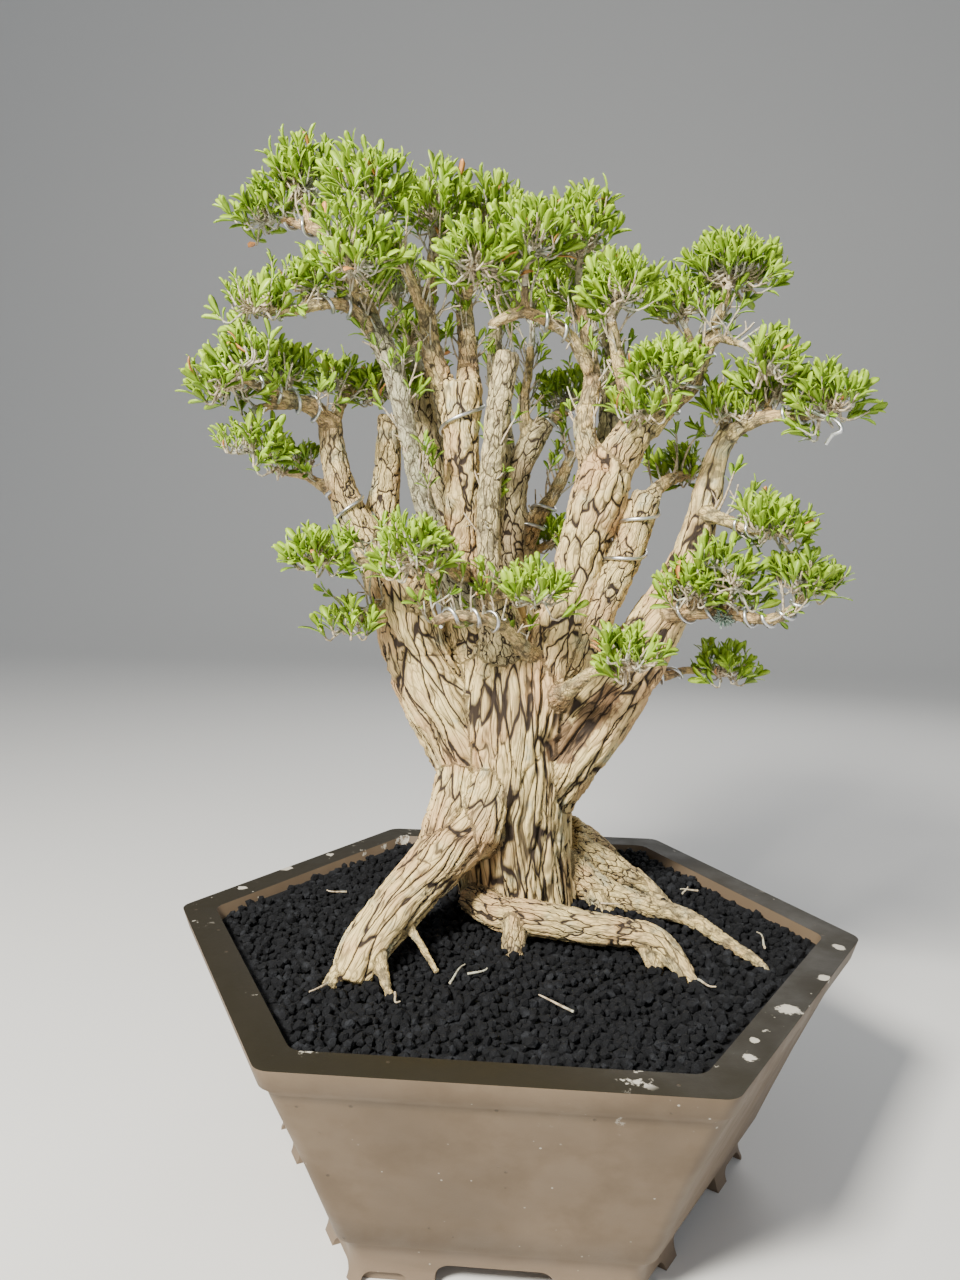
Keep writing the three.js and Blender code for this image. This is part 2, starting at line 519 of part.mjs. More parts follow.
function makeScreen([x, y]) {
  const middle = FLOOR_TOP + SEAT_GAP + SCREEN_THICKNESS / 2;
  const pitch = (SCREEN_SIDE - SCREEN_BAR) / SCREEN_MESHES;
  let screen = block(SCREEN_SIDE, SCREEN_THICKNESS, x, y, middle);
  for (let row = 0; row < SCREEN_MESHES; row += 1) {
    for (let column = 0; column < SCREEN_MESHES; column += 1) {
      const meshX = x + (column - (SCREEN_MESHES - 1) / 2) * pitch;
      const meshY = y + (row - (SCREEN_MESHES - 1) / 2) * pitch;
      screen = screen.subtract(block(pitch - SCREEN_BAR, SCREEN_THICKNESS * 2, meshX, meshY, middle));
    }
  }
  return screen;
}

// Wood

function directionsAlong(points) {
  const curve = new THREE.CatmullRomCurve3(points, false, 'centripetal');
  const across = new THREE.Vector3(...FIRST_ACROSS);
  return points.map((point, index) => {
    const along = curve.getTangent(index / (points.length - 1));
    across.projectOnPlane(along).normalize();
    return { point, along, across: across.clone(), beside: along.clone().cross(across) };
  });
}

function woodTube(route, sides, ridge, extra = 0) {
  const points = route.map(([x, y, z]) => new THREE.Vector3(x, y, z));
  const firstStep = points[0].clone().sub(points[1]).setLength(extra);
  const lastStep = points.at(-1).clone().sub(points.at(-2)).setLength(extra);
  points[0].add(firstStep);
  points.at(-1).add(lastStep);
  const rings = directionsAlong(points).map(({ point, across, beside }, index) => {
    const ring = [];
    for (let side = 0; side < sides; side += 1) {
      const angle = (side * 2 * Math.PI) / sides;
      const flute = side % 2 === 0 ? 1 + ridge : 1 - ridge;
      const radius = route[index][3] * flute + extra;
      const offset = across.clone().multiplyScalar(radius * Math.cos(angle));
      offset.addScaledVector(beside, radius * Math.sin(angle));
      ring.push(offset.add(point));
    }
    return ring;
  });
  return loft(rings);
}

function makeTree() {
  const pieces = WOOD.flatMap(({ sides, ridge, routes }) =>
    Object.values(routes).map((route) => woodTube(route, sides, ridge)));
  return manifold.Manifold.union(pieces).asOriginal().simplify(WOOD_TOLERANCE);
}

function routeOf(name) {
  return WOOD.map(({ routes }) => routes[name]).find((route) => route);
}

// Soil

function soilHeight(x, y) {
  const fromTrunk = Math.hypot(x - TRUNK_SPOT[0], y - TRUNK_SPOT[1]) / SOIL_MOUND_RADIUS;
  return SOIL_LEVEL + SOIL_MOUND * Math.exp(-fromTrunk * fromTrunk);
}

// A six-sided block whose top is a lattice of gravel bumps
function gravelBlock() {
  const random = seededRandom(7);
  const points = [];
  const faces = [];
  const numberAt = new Map();
  const low = FLOOR_TOP + SEAT_GAP;
  const inside = (a, b) => Math.max(Math.abs(a), Math.abs(b), Math.abs(a + b)) <= SOIL_LATTICE;
  for (const layer of ['top', 'bottom']) {
    for (let a = -SOIL_LATTICE; a <= SOIL_LATTICE; a += 1) {
      for (let b = -SOIL_LATTICE; b <= SOIL_LATTICE; b += 1) {
        const edge = Math.max(Math.abs(a), Math.abs(b), Math.abs(a + b)) === SOIL_LATTICE;
        if (inside(a, b) && (layer === 'top' || edge)) {
          const x = SOIL_PITCH * (a + b / 2);
          const y = SOIL_PITCH * b * Math.sin(Math.PI / 3);
          const bump = GRAVEL_RELIEF * (2 * random() - 1);
          numberAt.set(`${layer} ${a} ${b}`, points.length);
          points.push(new THREE.Vector3(x, y, layer === 'top' ? soilHeight(x, y) + bump : low));
        }
      }
    }
  }
  const top = (a, b) => numberAt.get(`top ${a} ${b}`);
  const bottom = (a, b) => numberAt.get(`bottom ${a} ${b}`);
  for (let a = -SOIL_LATTICE; a < SOIL_LATTICE; a += 1) {
    for (let b = -SOIL_LATTICE; b <= SOIL_LATTICE; b += 1) {
      if (inside(a, b) && inside(a + 1, b) && inside(a, b + 1)) {
        faces.push(top(a, b), top(a + 1, b), top(a, b + 1));
      }
      if (inside(a, b) && inside(a + 1, b) && inside(a + 1, b - 1)) {
        faces.push(top(a, b), top(a + 1, b - 1), top(a + 1, b));
      }
    }
  }
  const under = points.push(new THREE.Vector3(0, 0, low)) - 1;
  const steps = [[-1, 1], [-1, 0], [0, -1], [1, -1], [1, 0], [0, 1]];
  let a = SOIL_LATTICE;
  let b = 0;
  for (const [stepA, stepB] of steps) {
    for (let step = 0; step < SOIL_LATTICE; step += 1) {
      const nextA = a + stepA;
      const nextB = b + stepB;
      faces.push(bottom(a, b), bottom(nextA, nextB), top(nextA, nextB));
      faces.push(bottom(a, b), top(nextA, nextB), top(a, b));
      faces.push(under, bottom(nextA, nextB), bottom(a, b));
      a = nextA;
      b = nextB;
    }
  }
  return solidOf(geometryOf(points, faces));
}

function makeSoil() {
  const [floorRadius] = POT_INSIDE[0];
  const [rimRadius] = POT_INSIDE.at(-1);
  const floor = [floorRadius, FLOOR_TOP + SEAT_GAP];
  const room = [floor, ...POT_INSIDE.slice(1), [rimRadius, POT_HEIGHT + SOIL_MOUND * 2]];
  let soil = gravelBlock().intersect(hexagonLoft(room, SEAT_GAP));
  const screenRoom = [SCREEN_SIDE + 2 * SEAT_GAP, 2 * (SCREEN_THICKNESS + 2 * SEAT_GAP)];
  for (const [x, y] of drainSpots()) {
    soil = soil.subtract(block(...screenRoom, x, y, FLOOR_TOP));
  }
  for (const { sides, ridge, routes } of [TRUNK, THICK_ROOTS, THIN_ROOTS]) {
    for (const route of Object.values(routes)) {
      soil = soil.subtract(woodTube(route, sides, ridge, ROOT_GAP));
    }
  }
  const [body] = soil.decompose().sort((one, other) => other.volume() - one.volume());
  return body.asOriginal().simplify(WOOD_TOLERANCE);
}

// Wire

// A place at a share of a route's length, with the wood's radius and directions there
function placeOn(route, share) {
  const frames = directionsAlong(route.map(([x, y, z]) => new THREE.Vector3(x, y, z)));
  const at = share * (route.length - 1);
  const before = Math.min(Math.floor(at), route.length - 2);
  const blend = at - before;
  const mix = (key) => frames[before][key].clone().lerp(frames[before + 1][key], blend);
  const radius = THREE.MathUtils.lerp(route[before][3], route[before + 1][3], blend);
  return { point: mix('point'), across: mix('across'), beside: mix('beside'), along: mix('along'), radius };
}

function wireSolid({ around, from, to, turns, curl }, phase, clear) {
  const route = routeOf(around);
  const steps = Math.round(turns * WIRE_STEPS_PER_TURN);
  const points = [];
  for (let step = 0; step <= steps; step += 1) {
    const { point, across, beside, radius } = placeOn(route, from + ((to - from) * step) / steps);
    const angle = phase + (step * 2 * Math.PI) / WIRE_STEPS_PER_TURN;
    const reach = radius + WIRE_RADIUS + clear;
    point.addScaledVector(across, reach * Math.cos(angle)).addScaledVector(beside, reach * Math.sin(angle));
    points.push(point);
  }
  if (curl) {
    const { along } = placeOn(route, to);
    const end = points.at(-1);
    for (const [forward, y, z] of WIRE_HOOK) {
      points.push(new THREE.Vector3(0, y, z).addScaledVector(along, forward).add(end));
    }
  }
  const wire = points.map((point) => [point.x, point.y, point.z, WIRE_RADIUS]);
  return woodTube(wire, WIRE_SIDES, 0);
}

// Turns a wire about its branch, and then opens it a little, until it clears the wood
function makeWire(spec, tree) {
  for (let clear = 2 * SEAT_GAP; clear < WIDEST_WIRE_OPENING; clear += WIRE_OPENING_STEP) {
    for (let phase = 0; phase < 2 * Math.PI; phase += Math.PI / 6) {
      const wire = wireSolid(spec, phase, clear);
      if (wire.minGap(tree, 1) >= SEAT_GAP) {
        return wire;
      }
    }
  }
  throw new Error(`no room for the wire round ${spec.around}`);
}

// Leaves

// Grows a leaf from a triangle [under, right, left] of a twig, and adds its points and faces
function addLeaf(points, faces, [under, right, left], direction, sideways, length) {
  const upper = direction.clone().cross(sideways);
  const start = points[under].clone().add(points[right]).add(points[left]).divideScalar(3);
  const middle = start.clone().addScaledVector(direction, length * LEAF_WIDEST);
  const keel = points.push(middle.clone().addScaledVector(upper, -LEAF_THICKNESS)) - 1;
  const rightEdge = points.push(middle.clone().addScaledVector(sideways, LEAF_HALF_WIDTH)) - 1;
  const leftEdge = points.push(middle.clone().addScaledVector(sideways, -LEAF_HALF_WIDTH)) - 1;
  const end = start.clone().addScaledVector(direction, length).addScaledVector(upper, LEAF_TIP_LIFT);
  const tip = points.push(end) - 1;
  faces.push(under, right, rightEdge, under, rightEdge, keel);
  faces.push(right, left, leftEdge, right, leftEdge, rightEdge);
  faces.push(left, under, keel, left, keel, leftEdge);
  faces.push(keel, rightEdge, tip, rightEdge, leftEdge, tip, leftEdge, keel, tip);
}

// A three-sided twig that grows from a triangle of its stem to a knee and then upright. Above
// the knee every side bears two leaves, one over the other, and the tip bears one more.
function leafyShoot(start, knee, upright, length) {
  const across = new THREE.Vector3();
  start.forEach((point, corner) => {
    const arm = point.clone().sub(middleOf(start)).projectOnPlane(upright);
    across.add(arm.applyAxisAngle(upright, (-corner * 2 * Math.PI) / 3));
  });
  across.normalize();
  const beside = upright.clone().cross(across);
  const points = start.map((point) => point.clone());
  TWIG_RADII.forEach((radius, level) => {
    const centre = knee.clone().addScaledVector(upright, LEAF_LEVEL * level);
    for (let corner = 0; corner < 3; corner += 1) {
      const angle = (corner * 2 * Math.PI) / 3;
      const point = centre.clone().addScaledVector(across, radius * Math.cos(angle));
      points.push(point.addScaledVector(beside, radius * Math.sin(angle)));
    }
  });
  const faces = [];
  for (let level = 0; level < TWIG_RADII.length; level += 1) {
    for (let corner = 0; corner < 3; corner += 1) {
      const low = level * 3 + corner;
      const lowNext = level * 3 + ((corner + 1) % 3);
      faces.push(low, lowNext, lowNext + 3);
      if (level === 0) {
        faces.push(low, lowNext + 3, low + 3);
      } else {
        const facing = ((corner + 0.5) * 2 * Math.PI) / 3;
        const outward = across.clone().multiplyScalar(Math.cos(facing));
        outward.addScaledVector(beside, Math.sin(facing));
        const lean = LEAF_LEANS[level - 1];
        const direction = upright.clone().multiplyScalar(Math.cos(lean));
        direction.addScaledVector(outward, Math.sin(lean));
        const sideways = upright.clone().cross(outward);
        addLeaf(points, faces, [low, lowNext + 3, low + 3], direction, sideways, length);
      }
    }
  }
  const top = TWIG_RADII.length * 3;
  addLeaf(points, faces, [top, top + 1, top + 2], upright, beside, length * TOP_LEAF_SHARE);
  return { points, faces };
}

// Whether an edge passes through a face that it doesn't touch
function crossesItself({ points, faces }) {
  const triangles = [];
  for (let first = 0; first < faces.length; first += 3) {
    triangles.push(faces.slice(first, first + 3));
  }
  const meeting = new THREE.Vector3();
  return triangles.some((corners) => corners.some((from, side) => {
    const to = corners[(side + 1) % 3];
    const way = points[to].clone().sub(points[from]);
    const length = way.length();
    const ray = new THREE.Ray(points[from], way.normalize());
    return triangles.some(([a, b, c]) => {
      const touches = [a, b, c].includes(from) || [a, b, c].includes(to);
      return !touches && ray.intersectTriangle(points[a], points[b], points[c], false, meeting) !== null
        && meeting.distanceTo(points[from]) < length;
    });
  }));
}

function boxesApart(one, other, distance) {
  const a = one.boundingBox();
  const b = other.boundingBox();
  const isApart = (axis) => Math.max(a.min[axis] - b.max[axis], b.min[axis] - a.max[axis]) > distance;
  return [0, 1, 2].some(isApart);
}

function isClear(solid, others) {
  return others.every((other) => boxesApart(solid, other, SEAT_GAP) || solid.minGap(other, 1) >= LEAST_GAP);
}

// Where a shoot turns upright, so that its top leaf ends at the target
function kneeUnder(target, upright, length) {
  return target.clone().addScaledVector(upright, -(2 * LEAF_LEVEL + length * TOP_LEAF_SHARE));
}

// Tries one shoot in new places near its target, and leaned more and more to the face that it
// grows from, until it clears what is round it and doesn't fold through itself
function placeShoot(start, target, upright, others, siblings, random) {
  const [under, right, left] = start;
  const outward = right.clone().sub(under).cross(left.clone().sub(under)).normalize();
  let spare;
  for (let attempt = 0; attempt < SHOOT_ATTEMPTS; attempt += 1) {
    const shift = new THREE.Vector3(random() - 0.5, random() - 0.5, random() - 0.4);
    shift.multiplyScalar(Math.sqrt(attempt) * SHOOT_WANDER);
    const length = LEAF_LENGTH * THREE.MathUtils.lerp(...LEAF_LENGTH_SHARES, random());
    const lean = upright.clone().addScaledVector(outward, (SHOOT_YIELD * attempt) / SHOOT_ATTEMPTS).normalize();
    const knee = kneeUnder(target, lean, length).add(shift);
    const shoot = leafyShoot(start, knee, lean, length);
    const solid = solidOf(geometryOf(shoot.points, [0, 2, 1, ...shoot.faces]));
    const crosses = (sibling) => solid.intersect(sibling).volume() > SHOOT_OVERLAP;
    if (!siblings.some(crosses) && isClear(solid, others)) {
      if (!crossesItself(shoot)) {
        return { ...shoot, solid };
      }
      spare ??= { ...shoot, solid };
    }
  }
  if (!spare) {
    throw new Error('no room for a shoot');
  }
  return spare;
}

// The stem's rings of three points: a bare stretch first, and then one for every side shoot
function stemRings(curve, shoots, heading, firstRadius, firstKnee) {
  const shares = [0];
  for (let shoot = 0; shoot + 1 < shoots; shoot += 1) {
    shares.push(THREE.MathUtils.lerp(BARE_STEM, 1, shoot / (shoots - 1)));
  }
  shares.push(1);
  const stops = shares.map((share) => curve.getPointAt(share));
  const frames = directionsAlong([...stops, firstKnee]).slice(0, -1);
  frames[0].across.projectOnPlane(heading).normalize();
  frames[0].beside.crossVectors(heading, frames[0].across);
  return frames.map(({ point, across, beside }, index) => {
    const radius = THREE.MathUtils.lerp(firstRadius, STEM_TIP_RADIUS, shares[index]);
    return [0, 1, 2].map((corner) => {
      const angle = (corner * 2 * Math.PI) / 3;
      const offset = across.clone().multiplyScalar(radius * Math.cos(angle));
      return offset.addScaledVector(beside, radius * Math.sin(angle)).add(point);
    });
  });
}

// Where the shoots of a spray end: a sunflower pattern over a dome
function shootAims({ centre, spread, shoots }, seed) {
  const aims = [];
  for (let shoot = 0; shoot < shoots; shoot += 1) {
    const out = shoots === 1 ? 0 : Math.sqrt((shoot + DISC_START) / shoots);
    const angle = shoot * GOLDEN_ANGLE + seed;
    const away = new THREE.Vector3(Math.cos(angle) * out, Math.sin(angle) * out, 0);
    const dome = away.clone().setZ(DOME_TOP - DOME_DROP * out * out).multiply(new THREE.Vector3(...spread));
    const upright = away.multiplyScalar(SHOOT_SPLAY).setZ(1).normalize();
    aims.push({ target: dome.add(new THREE.Vector3(...centre)), upright });
  }
  return aims;
}

// The line of a spray's stem: straight on from its branch's end, and then under its leaves
function stemCurve({ centre, spread }, { point, along }) {
  const root = point.clone().addScaledVector(along, SEAT_GAP);
  const end = new THREE.Vector3(...centre);
  end.z -= spread[2] * STEM_END_DROP.ofSpread + LEAF_LENGTH * STEM_END_DROP.ofLeaf;
  const ahead = end.clone().sub(root).dot(along);
  end.addScaledVector(along, Math.max(0, LEAST_STEM - ahead));
  const bendAt = Math.max(LEAST_BEND, root.distanceTo(end) * STEM_BEND_SHARE);
  const bend = root.clone().addScaledVector(along, bendAt);
  return new THREE.CatmullRomCurve3([root, bend, end], false, 'centripetal');
}

function makeSpray(spec, seed, others) {
  const random = seededRandom(seed);
  const branchEnd = placeOn(routeOf(spec.from), 1);
  const curve = stemCurve(spec, branchEnd);
  const aims = shootAims(spec, seed);
  const firstKnee = kneeUnder(aims[0].target, aims[0].upright, LEAF_LENGTH);
  const firstRadius = branchEnd.radius * STEM_START_SHARE;
  const rings = stemRings(curve, spec.shoots, branchEnd.along, firstRadius, firstKnee);
  const points = rings.flat();
  const faces = [0, 2, 1];
  const siblings = [loft(rings)];
  const attach = (corners, { target, upright }) => {
    const start = corners.map((corner) => points[corner]);
    const shoot = placeShoot(start, target, upright, others, siblings, random);
    const moved = points.length - 3;
    points.push(...shoot.points.slice(3));
    faces.push(...shoot.faces.map((index) => (index < 3 ? corners[index] : index + moved)));
    siblings.push(shoot.solid);
  };
  for (let ring = 0; ring + 1 < rings.length; ring += 1) {
    const isBase = ring > 0;
    const aim = aims[ring];
    const sides = [0, 1, 2].map((side) => [ring * 3 + side, ring * 3 + ((side + 1) % 3)]);
    const facing = ([low, next]) => {
      const outward = middleOf([points[low], points[next]]).sub(middleOf(rings[ring]));
      return isBase ? outward.normalize().dot(aim.target.clone().sub(points[low]).normalize()) : 0;
    };
    const [best] = [...sides].sort((one, other) => facing(other) - facing(one));
    for (const side of sides) {
      const [low, next] = side;
      faces.push(low, next, next + 3);
      if (isBase && side === best) {
        attach([low, next + 3, low + 3], aim);
      } else {
        faces.push(low, next + 3, low + 3);
      }
    }
  }
  const last = (rings.length - 1) * 3;
  attach([last, last + 1, last + 2], aims[0]);
  return solidOf(geometryOf(points, faces));
}

// The whole object

const bonsai = new THREE.Group();
const tree = makeTree();
bonsai.add(meshOf('pot', makePot(), clay()));
bonsai.add(meshOf('soil', makeSoil(), gravel()));
drainSpots().forEach((spot, index) => {
  bonsai.add(meshOf(`drain_screen_${index + 1}`, makeScreen(spot), plastic()));
});
bonsai.add(meshOf('tree', tree, bark()));
const grown = [tree];
for (const [name, spec] of Object.entries(WIRES)) {
  const wire = makeWire(spec, tree);
  bonsai.add(meshOf(name, wire, aluminium()));
  grown.push(wire);
}
Object.entries(SPRAYS).forEach(([name, spec], index) => {
  const spray = makeSpray(spec, index + 1, grown);
  bonsai.add(meshOf(`spray_${name}`, spray, leaf()));
  grown.push(spray);
});

export default bonsai;
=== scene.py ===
"""Boxwood bonsai in a six-sided clay pot: bark, leaves, gravel, clay and wire over the packed solids."""

import math
from contextlib import contextmanager

import bmesh
import bpy
import numpy as np
from mathutils import Matrix


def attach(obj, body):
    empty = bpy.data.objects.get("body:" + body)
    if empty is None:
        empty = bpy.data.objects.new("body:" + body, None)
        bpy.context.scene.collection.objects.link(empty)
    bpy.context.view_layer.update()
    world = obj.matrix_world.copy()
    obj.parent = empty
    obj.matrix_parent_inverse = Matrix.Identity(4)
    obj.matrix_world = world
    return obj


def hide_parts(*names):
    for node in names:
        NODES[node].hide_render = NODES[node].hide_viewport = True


bl_info = {
    "name": "Boxwood Bonsai",
    "version": (1, 0, 0),
    "blender": (4, 5, 0),
    "location": "3D View > Sidebar > Bonsai",
    "description": "Grows the bark, leaves, gravel, clay and wire of a boxwood bonsai over its solids",
    "category": "Object",
}

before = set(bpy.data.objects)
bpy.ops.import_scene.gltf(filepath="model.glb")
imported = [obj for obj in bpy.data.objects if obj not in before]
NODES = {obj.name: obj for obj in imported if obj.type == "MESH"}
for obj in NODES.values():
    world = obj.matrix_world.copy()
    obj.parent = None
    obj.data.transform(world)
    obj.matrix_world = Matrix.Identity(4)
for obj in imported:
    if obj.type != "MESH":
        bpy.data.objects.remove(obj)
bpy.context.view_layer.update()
SPRAYS = sorted(name for name in NODES if name.startswith("spray_"))
WIRES = sorted(name for name in NODES if name.startswith("wire_"))
SCREENS = sorted(name for name in NODES if name.startswith("drain_screen_"))
MM = 0.001

